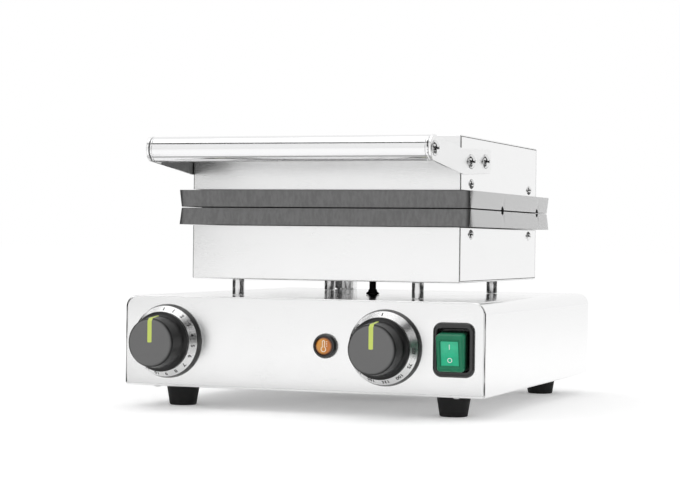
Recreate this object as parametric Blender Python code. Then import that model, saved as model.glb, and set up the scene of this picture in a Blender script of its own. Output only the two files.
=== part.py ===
"""Countertop maker for waffles on a stick: base, lower and upper heated plates, lid, handle and controls.

All lengths are metres, +Z is up and +Y runs to the back. The origin lies on the table under the middle
of the whole object, and the lid stands closed, the knobs at zero and the switch off.
"""

import math

import bmesh
import bpy
from mathutils import Matrix, Vector

# Gaps shared by all pieces
SEAT_GAP = 0.0003
CUT_OVERRUN = 0.0020
JOIN_OVERLAP = 0.0006

# Base case
BASE_WIDTH = 0.3050
BASE_DEPTH = 0.3380
BASE_HEIGHT = 0.0734
BASE_SHEET = 0.0012
BASE_BEND = 0.0100
BASE_FLANGE = 0.0150
PAN_SCREW_SHARE = 0.18

# Feet
FOOT_HEIGHT = 0.0174
FOOT_TOP_RADIUS = 0.0140
FOOT_BOTTOM_RADIUS = 0.0110
FOOT_SIDE_INSET = 0.0355
FOOT_INSET = 0.0360
FOOT_RECESS_RADIUS = 0.0055
FOOT_RECESS_DEPTH = 0.0070

# Screws and nuts, each by head radius, head height, shank radius
SMALL_HEAD_RADIUS = 0.0035
SMALL_SHANK_RADIUS = 0.0017
SIDE_SHANK_RADIUS = 0.0020
HANDLE_HEAD_RADIUS = 0.0062
HANDLE_HEAD_HEIGHT = 0.0036
HANDLE_SHANK_RADIUS = 0.0030
SCREW_REACH = 0.0060
RECESS_DEPTH = 0.0010
HEAD_WAIST_SHARE = 0.80
HEAD_CROWN_SHARE = 0.45
HEAD_RIM_HEIGHT_SHARE = 0.30
HEAD_WAIST_HEIGHT_SHARE = 0.82
RECESS_SHARE = 0.34
RECESS_FLOOR_SHARE = 0.24

# Posts that carry the cooking body
POST_RADIUS = 0.0049
POST_GAP = 0.0134
POST_SIDE_INSET = 0.0377
POST_INSET = 0.0098
POST_SIDES = 12
STUD_RADIUS = 0.0030
STUD_REACH = 0.0085
NUT_RADIUS = 0.0058
NUT_HEIGHT = 0.0048

# Housings under and over the plates
HOUSING_SIDE_GAP = 0.0362
HOUSING_SETBACK = 0.0495
HOUSING_REAR_GAP = 0.0556
HOUSING_SHEET = 0.0012
HOUSING_BEND = 0.0020
COVER_GAP = 0.0005
LOWER_HOUSING_HEIGHT = 0.0442
LID_HOUSING_HEIGHT = 0.0439
SIDE_SCREW_INSET = 0.0297
SIDE_SCREW_REAR_INSET = 0.0259
SIDE_SCREW_DROP = 0.0055

# Cooking plates
PLATE_SIDE_OVERHANG = 0.0112
PLATE_END_OVERHANG = 0.00705
PLATE_THICKNESS = 0.0139
PLATE_GAP = 0.0008
PLATE_CORNER = 0.0030
PLATE_DRAFT = 0.0016
PLATE_EDGE = 0.0005
PLATE_LIFT = 0.00065
PLATE_BOSS_RADIUS = 0.0080
PLATE_BOSS_INSET = 0.0383
PLATE_SCREW_RADIUS = 0.0025
PLATE_SCREW_GRIP = 0.0055

# Waffle moulds in the plates
WAFFLE_COUNT = 4
WAFFLE_END_MARGIN = 0.0123
WAFFLE_WALL = 0.0126
WAFFLE_STICK_REACH = 0.0629
WAFFLE_NECK_WIDTH = 0.0220
WAFFLE_TAPER = 0.0520
WAFFLE_CORNER = 0.0080
WAFFLE_MARGIN = 0.0125
WAFFLE_DEPTH = 0.0070
WAFFLE_DRAFT = 0.0012
STUD_ROWS = 2
STUD_COLUMNS = 7
MOULD_STUD_EDGE = 0.00425
MOULD_STUD_GAP = 0.0095
MOULD_STUD_TAPER = 0.0020
MOULD_STUD_HEIGHT = 0.0048
MOULD_TAPER_SHARE = 0.5
STICK_WIDTH = 0.0076
STICK_HEIGHT = 0.0068
STICK_SHOULDER_SHARE = 0.45

# Carriers, heaters and insulation
CARRIER_WIDTH = 0.0200
CARRIER_SHEET = 0.0020
CARRIER_TAB = 0.0110
CARRIER_RAIL = 0.0060
HEATER_RADIUS = 0.00325
HEATER_RUNS = 4
HEATER_SIDE_GAP = 0.0154
HEATER_END_GAP = 0.00855
HEATER_LEG = 0.0080
WOOL_EDGE_GAP = 0.0080

# Handle
HANDLE_REACH = 0.0745
HANDLE_DROP = 0.0143
HANDLE_RADIUS = 0.0100
HANDLE_CAP_CHAMFER = 0.0008
BRACKET_SHEET = 0.0020
BRACKET_END_RADIUS = 0.0103
BRACKET_HEIGHT = 0.0203
BRACKET_TAIL = 0.0773
BRACKET_DROP = 0.0198
BRACKET_CORNER = 0.0035
BRACKET_SCREW_INSET = 0.0205
BRACKET_SCREW_PITCH = 0.0410
BRACKET_TILT = 2.5

# Hinges at the back
HINGE_INSET = 0.0683
HINGE_BEHIND_PLATE = 0.0081
HINGE_EYE_RADIUS = 0.0070
HINGE_PIN_RADIUS = 0.0030
HINGE_PIN_HEAD = 0.0046
HINGE_PIN_HEAD_HEIGHT = 0.0015
HINGE_SHEET = 0.0020
HINGE_WIDTH = 0.0260
HINGE_LEAF_HEIGHT = 0.0260
HINGE_LEAF_OFFSET = 0.0190
HINGE_SCREW_PITCH = 0.0160
HINGE_RUNNING_GAP = 0.0004
HINGE_PIN_GAP = 0.00012
HEEL_LENGTH = 0.0140
HEEL_HALF_WIDTH = 0.0035
STOP_RADIUS = 0.0025
STOP_DISTANCE = 0.0112
STOP_ANGLE = -60.0
LID_OPENING = 100.0

# Dials and knobs
TIMER_INSET = 0.0382
THERMOSTAT_INSET = 0.0803
BEZEL_RADIUS = 0.0300
BEZEL_RIM_RADIUS = 0.0288
BEZEL_DEPTH = 0.0050
BEZEL_CONE_RADIUS = 0.0236
BEZEL_CONE_DEPTH = 0.0110
BEZEL_WALL = 0.0022
BEZEL_FLOOR = 0.0026
KNOB_RADIUS = 0.0241
KNOB_LIP = 0.0020
KNOB_LIP_STEP = 0.0006
KNOB_SHOULDER_RADIUS = 0.0195
KNOB_FACE_RADIUS = 0.0173
KNOB_SHOULDER = 0.0022
KNOB_HEIGHT = 0.0222
KNOB_LIFT = 0.0008
SPINDLE_RADIUS = 0.0030
SPINDLE_GAP = 0.0003
POINTER_WIDTH = 0.0040
POINTER_RISE = 0.0004
TIMER_CASE_SIZE = 0.0480
TIMER_CASE_DEPTH = 0.0340
THERMOSTAT_CASE_WIDTH = 0.0440
THERMOSTAT_CASE_HEIGHT = 0.0340
THERMOSTAT_CASE_DEPTH = 0.0280
DIAL_SCREW_PITCH = 0.0280
SPINDLE_SEAT = 0.0040
POINTER_DROP_SHARE = 0.72

# Lamp
LAMP_PITCH = 0.0497
LAMP_RADIUS = 0.0098
LAMP_RIM_RADIUS = 0.0088
LAMP_DEPTH = 0.0047
LAMP_BORE_RADIUS = 0.0070
LAMP_BARREL_RADIUS = 0.0060
LAMP_BARREL_LENGTH = 0.0260
LAMP_LENS_DOME = 0.0012
LAMP_LENS_DEPTH = 0.0024
LENS_WAIST_SHARE = 0.70
LENS_CROWN_SHARE = 0.35
LENS_WAIST_HEIGHT_SHARE = 0.60

# Rocker switch
SWITCH_INSET = 0.0247
SWITCH_WIDTH = 0.0332
SWITCH_HEIGHT = 0.0422
SWITCH_CORNER = 0.0070
SWITCH_PROUD = 0.0028
SWITCH_BODY_WIDTH = 0.0286
SWITCH_BODY_HEIGHT = 0.0340
SWITCH_BODY_DEPTH = 0.0260
SWITCH_RECESS = 0.0075
ROCKER_WIDTH = 0.0240
ROCKER_HEIGHT = 0.0296
ROCKER_PROUD = 0.0125
ROCKER_ROOT = 0.0016
ROCKER_BEVEL = 0.0028
ROCKER_CORNER = 0.0022
ROCKER_PIVOT_DEPTH = 0.0032
ROCKER_TILT = 9.0
ROCKER_WALL = 0.0012
ROCKER_SIDE_GAP = 0.0006
ROCKER_END_GAP = 0.0014
ROCKER_PIN_RADIUS = 0.0012
ROCKER_PIN_REACH = 0.0010

# Leads, glands and terminals
LEAD_RADIUS = 0.0029
LEAD_X = 0.0059
LEAD_SETBACK = 0.1550
GROMMET_FLANGE_RADIUS = 0.0058
GROMMET_FLANGE = 0.0012
GROMMET_HEIGHT = 0.0056
GROMMET_TIP_RADIUS = 0.0038
GROMMET_NECK_RADIUS = 0.0044
LEAD_SLACK_SHARE = 0.50
LEAD_RISE_SHARE = 0.30
CONDUIT_SIDE_INSET = 0.0363
CONDUIT_INSET = 0.0180
CONDUIT_RADIUS = 0.0062
CONDUIT_FITTING_RADIUS = 0.0106
CONDUIT_FITTING_HEIGHT = 0.0145
CONDUIT_NECK_RADIUS = 0.0078
CONDUIT_NECK_HEIGHT = 0.0050
CONDUIT_LID_RISE = 0.0300
CONDUIT_BOW = 0.0330
GLAND_INSET = 0.0625
GLAND_RISE = 0.0300
GLAND_PROUD = 0.0100
GLAND_RADIUS = 0.0120
GLAND_THREAD_RADIUS = 0.0080
GLAND_BORE_RADIUS = 0.0042
BLOCK_WIDTH = 0.0480
BLOCK_DEPTH = 0.0200
BLOCK_HEIGHT = 0.0160
BLOCK_SLOT = 0.0050
BLOCK_WAYS = 3

# Vents in the bottom
VENT_COUNT = 9
VENT_LENGTH = 0.0500
VENT_WIDTH = 0.0040
VENT_PITCH = 0.0100

# Steps round arcs and full circles, and angles in degrees
BEND_STEPS = 5
CORNER_STEPS = 3
FINE_SIDES = 28
ROUND_SIDES = 18
SCREW_SIDES = 10
HEX_SIDES = 6
HEATER_TURN_STEPS = 6
LEAD_STEPS = 10
SMOOTH_ANGLE = 35
NOSE_START = 245
NOSE_STOP = 80
CONDUIT_STEPS = 12

# Places worked out from the sizes
FRONT_REACH = HANDLE_REACH + BRACKET_END_RADIUS - HOUSING_SETBACK
FRONT_Y = (FRONT_REACH - BASE_DEPTH - GLAND_PROUD) / 2
BACK_Y = FRONT_Y + BASE_DEPTH
BASE_BOTTOM = FOOT_HEIGHT
BASE_TOP = BASE_BOTTOM + BASE_HEIGHT
PAN_BOTTOM = BASE_BOTTOM + BASE_SHEET + 2 * SEAT_GAP
PAN_TOP = PAN_BOTTOM + BASE_SHEET
FOOT_X = BASE_WIDTH / 2 - FOOT_SIDE_INSET
DIAL_Z = BASE_BOTTOM + BASE_HEIGHT / 2
TIMER_X = TIMER_INSET - BASE_WIDTH / 2
THERMOSTAT_X = BASE_WIDTH / 2 - THERMOSTAT_INSET
LAMP_X = THERMOSTAT_X - LAMP_PITCH
SWITCH_X = BASE_WIDTH / 2 - SWITCH_INSET
GLAND_X = BASE_WIDTH / 2 - GLAND_INSET
HOUSING_WIDTH = BASE_WIDTH - 2 * HOUSING_SIDE_GAP
HOUSING_FRONT = FRONT_Y + HOUSING_SETBACK
HOUSING_BACK = BACK_Y - HOUSING_REAR_GAP
POST_X = HOUSING_WIDTH / 2 - POST_SIDE_INSET
HINGE_X = HOUSING_WIDTH / 2 - HINGE_INSET
CONDUIT_X = CONDUIT_SIDE_INSET - HOUSING_WIDTH / 2
HOUSING_BOTTOM = BASE_TOP + POST_GAP
HOUSING_TOP = HOUSING_BOTTOM + LOWER_HOUSING_HEIGHT
PLATE_WIDTH = HOUSING_WIDTH + 2 * PLATE_SIDE_OVERHANG
PLATE_DEPTH = HOUSING_BACK - HOUSING_FRONT + 2 * PLATE_END_OVERHANG
PLATE_Y = (HOUSING_FRONT + HOUSING_BACK) / 2
PLATE_BACK = PLATE_Y + PLATE_DEPTH / 2
PLATE_BOSS_X = HOUSING_WIDTH / 2 - PLATE_BOSS_INSET
WAFFLE_PITCH = (PLATE_DEPTH - 2 * WAFFLE_END_MARGIN) / WAFFLE_COUNT
WAFFLE_WIDTH = WAFFLE_PITCH - WAFFLE_WALL
WAFFLE_LENGTH = PLATE_WIDTH - WAFFLE_MARGIN - WAFFLE_STICK_REACH
MOULD_STUD_SIZE = (WAFFLE_WIDTH - 2 * MOULD_STUD_EDGE - (STUD_ROWS - 1) * MOULD_STUD_GAP) / STUD_ROWS
LOWER_PLATE_BOTTOM = HOUSING_TOP + PLATE_LIFT
PARTING = LOWER_PLATE_BOTTOM + PLATE_THICKNESS + PLATE_GAP / 2
PLATE_REACH = PARTING - LOWER_PLATE_BOTTOM
LID_BOTTOM = PARTING + PLATE_REACH + PLATE_LIFT
LID_TOP = LID_BOTTOM + LID_HOUSING_HEIGHT
SIDE_SCREW_YS = (HOUSING_FRONT + SIDE_SCREW_INSET, HOUSING_BACK - SIDE_SCREW_REAR_INSET)
CARRIER_REACH = PLATE_REACH + PLATE_LIFT
CARRIER_X = HOUSING_WIDTH / 2 - HOUSING_SHEET - SEAT_GAP
WINDOW_X = CARRIER_X - CARRIER_SHEET - CARRIER_RAIL
WINDOW_FRONT, WINDOW_BACK = SIDE_SCREW_YS[0] + CARRIER_WIDTH / 2, SIDE_SCREW_YS[1] - CARRIER_WIDTH / 2
HEATER_REACH = PLATE_REACH + SEAT_GAP + HEATER_RADIUS
HEATER_FRONT = WINDOW_FRONT + HEATER_SIDE_GAP + HEATER_RADIUS
HEATER_PITCH = (WINDOW_BACK - HEATER_SIDE_GAP - HEATER_RADIUS - HEATER_FRONT) / (HEATER_RUNS - 1)
HEATER_TURN_X = WINDOW_X - HEATER_END_GAP - HEATER_RADIUS - HEATER_PITCH / 2
WOOL_REACH = HEATER_REACH + HEATER_RADIUS + SEAT_GAP
POST_YS = (HOUSING_FRONT + POST_INSET, HOUSING_BACK - POST_INSET)
HINGE_Y = PLATE_BACK + HINGE_BEHIND_PLATE
HINGE_WEB_FRONT = HOUSING_BACK + SEAT_GAP
HINGE_WEB_BACK = HINGE_WEB_FRONT + HINGE_SHEET
BAR_Y = HOUSING_FRONT - HANDLE_REACH
BAR_Z = LID_TOP - HANDLE_DROP
BRACKET_INNER_X = HOUSING_WIDTH / 2 + SEAT_GAP
BRACKET_OUTER_X = BRACKET_INNER_X + BRACKET_SHEET
BRACKET_Z = LID_TOP - BRACKET_DROP
KNOB_BASE_Y = FRONT_Y - BEZEL_CONE_DEPTH - KNOB_LIFT
CONDUIT_Y = BACK_Y - CONDUIT_INSET
CONDUIT_LID_Z = LID_BOTTOM + CONDUIT_LID_RISE
LEAD_Y = FRONT_Y + LEAD_SETBACK
CONDUIT_END = CONDUIT_FITTING_HEIGHT + CONDUIT_NECK_HEIGHT + 2 * SEAT_GAP

# Finishes by name: colour, metallic, roughness
FINISHES = {
    "satin_steel": ((0.80, 0.80, 0.79), 1.0, 0.32),
    "polished_steel": ((0.72, 0.72, 0.72), 1.0, 0.16),
    "zinc": ((0.62, 0.62, 0.60), 1.0, 0.38),
    "cast_plate": ((0.085, 0.085, 0.085), 0.35, 0.55),
    "knob_black": ((0.035, 0.035, 0.037), 0.0, 0.42),
    "bezel_black": ((0.018, 0.018, 0.019), 0.0, 0.36),
    "lens_amber": ((0.75, 0.33, 0.03), 0.0, 0.22),
    "boot_green": ((0.010, 0.12, 0.060), 0.0, 0.28),
    "rubber": ((0.014, 0.014, 0.014), 0.0, 0.70),
    "ceramic": ((0.80, 0.78, 0.72), 0.0, 0.50),
    "mineral_wool": ((0.62, 0.60, 0.52), 0.0, 0.95),
    "heater_alloy": ((0.22, 0.19, 0.17), 0.8, 0.50),
}


def along_x(u, v, w):
    """Place (u, v) in the YZ plane at x = w."""
    return Vector((w, u, v))


def along_y(u, v, w):
    """Place (u, v) in the XZ plane at y = w."""
    return Vector((u, w, v))


def along_z(u, v, w):
    """Place (u, v) in the XY plane at z = w."""
    return Vector((u, v, w))


def arc(centre, radius, start, stop, steps):
    """Points on an arc, angles in degrees."""
    angles = [math.radians(start + (stop - start) * i / steps) for i in range(steps + 1)]
    return [(centre[0] + radius * math.cos(a), centre[1] + radius * math.sin(a)) for a in angles]


def rounded(corners, radii, steps):
    """Path through the corners, each one turned into an arc of its own radius; a radius of zero stays sharp."""
    points = []
    count = len(corners)
    for i, (corner, radius) in enumerate(zip(corners, radii)):
        here = Vector(corner)
        if radius == 0:
            points.append(tuple(here))
            continue
        back = (Vector(corners[i - 1]) - here).normalized()
        ahead = (Vector(corners[(i + 1) % count]) - here).normalized()
        half = back.angle(ahead) / 2
        centre = here + (back + ahead).normalized() * radius / math.sin(half)
        start = here + back * radius / math.tan(half) - centre
        sweep = math.pi - 2 * half
        turn = 1 if back.x * ahead.y - back.y * ahead.x < 0 else -1
        for step in range(steps + 1):
            spoke = Matrix.Rotation(turn * sweep * step / steps, 2) @ start
            points.append(tuple(centre + spoke))
    return points


def rectangle(width, height, radius, steps=CORNER_STEPS, centre=(0, 0)):
    """Outline of a rectangle with equal corner radii."""
    x, y = width / 2, height / 2
    corners = [(centre[0] + sx * x, centre[1] + sy * y) for sx, sy in ((-1, -1), (1, -1), (1, 1), (-1, 1))]
    return rounded(corners, [radius] * len(corners), steps)


def sheet(path, thickness):
    """Outline of a folded sheet whose outer face follows the path and whose metal lies to the path's right."""
    points = [Vector(p) for p in path]
    normals = []
    for here, ahead in zip(points, points[1:]):
        run = (ahead - here).normalized()
        normals.append(Vector((run.y, -run.x)))
    inner = []
    for i, point in enumerate(points):
        before, after = normals[max(i - 1, 0)], normals[min(i, len(normals) - 1)]
        mitre = (before + after) / (1 + before.dot(after))
        inner.append(tuple(point + mitre * thickness))
    return [tuple(p) for p in points] + inner[::-1]


class Solid:
    """Mesh being built from closed bodies."""

    def __init__(self):
        self.mesh = bmesh.new()

    def loft(self, rings, closed=False):
        """Skin between rings of equal count; open ends get flat caps."""
        rows = [[self.mesh.verts.new(p) for p in ring] for ring in rings]
        count = len(rows[0])
        pairs = list(zip(rows, rows[1:]))
        if closed:
            pairs.append((rows[-1], rows[0]))
        for lower, upper in pairs:
            for i in range(count):
                j = (i + 1) % count
                self.mesh.faces.new((lower[i], lower[j], upper[j], upper[i]))
        if not closed:
            self.mesh.faces.new(rows[0])
            self.mesh.faces.new(rows[-1])

    def prism(self, outline, place, start, stop):
        """Outline carried straight from start to stop."""
        self.loft([[place(u, v, w) for u, v in outline] for w in (start, stop)])

    def box(self, low, high):
        """Box between two corners."""
        outline = [(low[0], low[1]), (high[0], low[1]), (high[0], high[1]), (low[0], high[1])]
        self.prism(outline, along_z, low[2], high[2])

    def turned(self, profile, place, centre, sides, closed=False):
        """Profile of (radius, height) turned about an axis; a hole through it comes from a closed profile."""
        rings = []
        for radius, height in profile:
            outline = arc(centre, radius, 0, 360 - 360 / sides, sides - 1)
            rings.append([place(u, v, height) for u, v in outline])
        self.loft(rings, closed)

    def rod(self, place, centre, radius, start, stop, sides=SCREW_SIDES):
        """Plain round bar."""
        self.turned([(radius, start), (radius, stop)], place, centre, sides)

    def tube(self, place, centre, radius, bore, start, stop, sides=ROUND_SIDES):
        """Round bar with a hole along it."""
        profile = [(bore, start), (radius, start), (radius, stop), (bore, stop)]
        self.turned(profile, place, centre, sides, closed=True)

    def screw(self, place, centre, seat, out, head, shank, reach):
        """Domed screw with a recess; out, +1 or -1, points from the seat to its head."""
        radius, height = head
        crown = seat + out * height
        profile = [(shank, seat - out * reach), (shank, seat), (radius, seat),
                   (radius, seat + out * height * HEAD_RIM_HEIGHT_SHARE),
                   (radius * HEAD_WAIST_SHARE, seat + out * height * HEAD_WAIST_HEIGHT_SHARE),
                   (radius * HEAD_CROWN_SHARE, crown), (radius * RECESS_SHARE, crown),
                   (radius * RECESS_FLOOR_SHARE, crown - out * RECESS_DEPTH)]
        self.turned(profile, place, centre, SCREW_SIDES)

    def make(self, name, finish, carrier=None, smooth=False):
        """Turn the mesh into a named object with its finish, on its joint's empty if it moves."""
        bmesh.ops.recalc_face_normals(self.mesh, faces=self.mesh.faces[:])
        data = bpy.data.meshes.new(name)
        self.mesh.to_mesh(data)
        self.mesh.free()
        item = bpy.data.objects.new(name, data)
        bpy.context.scene.collection.objects.link(item)
        data.materials.append(finish_material(finish))
        if smooth:
            data.shade_smooth()
            data.set_sharp_from_angle(angle=math.radians(SMOOTH_ANGLE))
        settle(item, carrier)
        return item

    def tool(self, target, operation):
        """Cut this mesh from the target, or join it, with a Boolean modifier."""
        index = len(target.modifiers)
        item = self.make(f"{target.name}_{operation.lower()}_{index}", "zinc")
        item.hide_render = True
        item.display_type = "WIRE"
        modifier = target.modifiers.new(operation.title(), "BOOLEAN")
        modifier.operation = operation
        modifier.solver = "EXACT"
        modifier.object = item
        return target

    def cut_from(self, target):
        """Take this mesh away from the target."""
        return self.tool(target, "DIFFERENCE")

    def join_to(self, target):
        """Weld this mesh to the target."""
        return self.tool(target, "UNION")


def settle(item, carrier):
    """Hang an object, modelled where it stands, on its joint's empty."""
    if carrier is not None:
        item.parent = carrier
        item.matrix_parent_inverse = Matrix.Translation(-Vector(carrier.location))


def finish_material(name):
    """Material of a finish, made once."""
    found = bpy.data.materials.get(name)
    if found:
        return found
    colour, metallic, roughness = FINISHES[name]
    material = bpy.data.materials.new(name)
    material.use_nodes = True
    shader = material.node_tree.nodes["Principled BSDF"]
    shader.inputs["Base Color"].default_value = (*colour, 1.0)
    shader.inputs["Metallic"].default_value = metallic
    shader.inputs["Roughness"].default_value = roughness
    return material


def axis_empty(name, location):
    """Empty on a joint's axis."""
    item = bpy.data.objects.new(name, None)
    item.location = location
    bpy.context.scene.collection.objects.link(item)
    return item


def pipe(name, points, radius, finish, carrier=None, resolution=2):
    """Round tube along a list of points."""
    data = bpy.data.curves.new(name, "CURVE")
    data.dimensions = "3D"
    data.bevel_depth = radius
    data.bevel_resolution = resolution
    data.use_fill_caps = True
    spline = data.splines.new("POLY")
    spline.points.add(len(points) - 1)
    for target, point in zip(spline.points, points):
        target.co = (*point, 1.0)
    item = bpy.data.objects.new(name, data)
    bpy.context.scene.collection.objects.link(item)
    data.materials.append(finish_material(finish))
    settle(item, carrier)
    return item


def bezier(start, lead_out, lead_in, stop, steps):
    """Points on a cubic curve."""
    points = []
    for i in range(steps + 1):
        t = i / steps
        weights = ((1 - t) ** 3, 3 * t * (1 - t) ** 2, 3 * t * t * (1 - t), t ** 3)
        ends = (start, lead_out, lead_in, stop)
        points.append(sum((Vector(p) * w for p, w in zip(ends, weights)), Vector((0, 0, 0))))
    return points


def mirrored(*places):
    """Each (x, ...) place and its twin at -x."""
    return [(side * place[0], *place[1:]) for place in places for side in (-1, 1)]


def level(side, reach):
    """Height at a distance from the parting plane: side +1 counts downwards, -1 upwards."""
    return PARTING - side * reach


def case_outline(inset, lift):
    """Outline of the case in the XZ plane, drawn in from its walls and lifted from its bottom edge."""
    x, low, high = BASE_WIDTH / 2 - inset, BASE_BOTTOM + lift, BASE_TOP - inset
    bend = BASE_BEND - inset
    return rounded([(-x, low), (-x, high), (x, high), (x, low)], [0, bend, bend, 0], BEND_STEPS)


def pan_screw_places():
    """Places of the screws that hold the bottom pan, under the flanges all round."""
    middle = BASE_FLANGE / 2 + BASE_SHEET
    ends = mirrored((FOOT_X + FOOT_TOP_RADIUS - SMALL_HEAD_RADIUS, FRONT_Y + middle),
                    (FOOT_X + FOOT_TOP_RADIUS - SMALL_HEAD_RADIUS, BACK_Y - middle))
    flank = BASE_WIDTH / 2 - middle + BASE_SHEET
    inset = BASE_DEPTH * PAN_SCREW_SHARE
    sides = mirrored((flank, FRONT_Y + inset), (flank, BACK_Y - inset))
    return ends + sides


def foot_places():
    """Centres of the four feet."""
    return mirrored((FOOT_X, FRONT_Y + FOOT_INSET), (FOOT_X, BACK_Y - FOOT_INSET))


def post_places():
    """Centres of the four posts."""
    return mirrored(*[(POST_X, y) for y in POST_YS])


def base_shell():
    """Wrapped sheet over both sides and the top, with a flange folded in along each bottom edge."""
    x = BASE_WIDTH / 2
    corners = [(-x + BASE_FLANGE, BASE_BOTTOM), (-x, BASE_BOTTOM), (-x, BASE_TOP),
               (x, BASE_TOP), (x, BASE_BOTTOM), (x - BASE_FLANGE, BASE_BOTTOM)]
    path = rounded(corners, [0, 0, BASE_BEND, BASE_BEND, 0, 0], BEND_STEPS)
    shell = Solid()
    shell.prism(sheet(path, BASE_SHEET), along_y, FRONT_Y + BASE_SHEET + SEAT_GAP, BACK_Y)
    item = shell.make("base_shell", "satin_steel", smooth=True)

    holes = Solid()
    low, high = BASE_TOP - CUT_OVERRUN, BASE_TOP + CUT_OVERRUN
    for centre in post_places():
        holes.rod(along_z, centre, STUD_RADIUS + SEAT_GAP, low, high)
    round_holes = ((LEAD_X, LEAD_Y), GROMMET_NECK_RADIUS), ((CONDUIT_X, CONDUIT_Y), CONDUIT_NECK_RADIUS)
    for centre, radius in round_holes:
        holes.rod(along_z, centre, radius + SEAT_GAP, low, high, ROUND_SIDES)
    holes.cut_from(item)

    notches = Solid()
    depth = BASE_SHEET + BASE_FLANGE + SEAT_GAP
    for side in (-1, 1):
        inner, outer = side * (x - BASE_FLANGE - CUT_OVERRUN), side * (x - BASE_SHEET)
        for start, stop in ((FRONT_Y, FRONT_Y + depth), (BACK_Y - depth, BACK_Y + CUT_OVERRUN)):
            notches.box((min(inner, outer), start, BASE_BOTTOM - CUT_OVERRUN),
                        (max(inner, outer), stop, BASE_BOTTOM + BASE_SHEET + SEAT_GAP))
    notches.cut_from(item)
    pan_holes().cut_from(item)


def pan_holes():
    """Cutter for the pan screws' holes through flanges and pan."""
    holes = Solid()
    low, high = BASE_BOTTOM - CUT_OVERRUN, PAN_TOP + CUT_OVERRUN
    for centre in pan_screw_places():
        holes.rod(along_z, centre, SMALL_SHANK_RADIUS + SEAT_GAP, low, high)
    return holes


def front_panel():
    """Flat front with rounded top corners and a flange that slides inside the shell; holes for the controls."""
    fit = BASE_SHEET + SEAT_GAP
    rings = []
    for inset, lift, depth in ((0, 0, 0), (0, 0, BASE_SHEET), (fit, SEAT_GAP, BASE_SHEET),
                               (fit, SEAT_GAP, BASE_SHEET + BASE_FLANGE),
                               (fit + BASE_SHEET, SEAT_GAP + BASE_SHEET, BASE_SHEET + BASE_FLANGE),
                               (fit + BASE_SHEET, SEAT_GAP + BASE_SHEET, BASE_SHEET)):
        rings.append([along_y(u, v, FRONT_Y + depth) for u, v in case_outline(inset, lift)])
    panel = Solid()
    panel.loft(rings)
    item = panel.make("front_panel", "satin_steel", smooth=True)

    holes = Solid()
    start, stop = FRONT_Y - CUT_OVERRUN, FRONT_Y + BASE_SHEET + CUT_OVERRUN
    for x in (TIMER_X, THERMOSTAT_X):
        holes.rod(along_y, (x, DIAL_Z), SPINDLE_RADIUS + SPINDLE_GAP, start, stop)
        for side in (-1, 1):
            screw = (x + side * DIAL_SCREW_PITCH / 2, DIAL_Z)
            holes.rod(along_y, screw, SMALL_SHANK_RADIUS + SEAT_GAP, start, stop)
    holes.rod(along_y, (LAMP_X, DIAL_Z), LAMP_BARREL_RADIUS + SEAT_GAP, start, stop, ROUND_SIDES)
    window = rectangle(SWITCH_BODY_WIDTH + 2 * SEAT_GAP, SWITCH_BODY_HEIGHT + 2 * SEAT_GAP,
                       ROCKER_CORNER, centre=(SWITCH_X, DIAL_Z))
    holes.prism(window, along_y, start, stop)
    holes.cut_from(item)
    pan_holes().cut_from(item)


def back_panel():
    """Flat back set inside the shell, with a flange forwards all round and the cord gland's hole."""
    fit = BASE_SHEET + SEAT_GAP
    rings = []
    for inset, lift, depth in ((0, 0, 0), (0, 0, BASE_SHEET + BASE_FLANGE),
                               (BASE_SHEET, BASE_SHEET, BASE_SHEET + BASE_FLANGE),
                               (BASE_SHEET, BASE_SHEET, BASE_SHEET)):
        outline = case_outline(fit + inset, SEAT_GAP + lift)
        rings.append([along_y(u, v, BACK_Y - depth) for u, v in outline])
    panel = Solid()
    panel.loft(rings)
    item = panel.make("back_panel", "satin_steel", smooth=True)
    holes = Solid()
    holes.rod(along_y, (GLAND_X, BASE_BOTTOM + GLAND_RISE), GLAND_THREAD_RADIUS + SEAT_GAP,
              BACK_Y - BASE_SHEET - CUT_OVERRUN, BACK_Y + CUT_OVERRUN, ROUND_SIDES)
    holes.cut_from(item)
    pan_holes().cut_from(item)


def bottom_pan():
    """Pan that closes the base from below, with cooling slots."""
    edge = 2 * (BASE_SHEET + SEAT_GAP)
    x, start, stop = BASE_WIDTH / 2 - edge, FRONT_Y + BASE_SHEET + SEAT_GAP, BACK_Y - BASE_SHEET - SEAT_GAP
    pan = Solid()
    pan.box((-x, start, PAN_BOTTOM), (x, stop, PAN_TOP))
    item = pan.make("bottom_pan", "satin_steel")
    slots = Solid()
    middle = (start + stop) / 2
    for i in range(VENT_COUNT):
        x = (i - (VENT_COUNT - 1) / 2) * VENT_PITCH
        slots.box((x - VENT_WIDTH / 2, middle - VENT_LENGTH / 2, PAN_BOTTOM - CUT_OVERRUN),
                  (x + VENT_WIDTH / 2, middle + VENT_LENGTH / 2, PAN_TOP + CUT_OVERRUN))
    slots.cut_from(item)
    holes = pan_holes()
    for centre in foot_places():
        holes.rod(along_z, centre, SMALL_SHANK_RADIUS + SEAT_GAP,
                  PAN_BOTTOM - CUT_OVERRUN, PAN_TOP + CUT_OVERRUN)
    holes.cut_from(item)


def corner_name(piece, x, y):
    """Name of a piece at one corner of the object."""
    return f"{piece}_{'front' if y < 0 else 'back'}_{'left' if x < 0 else 'right'}"


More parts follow.
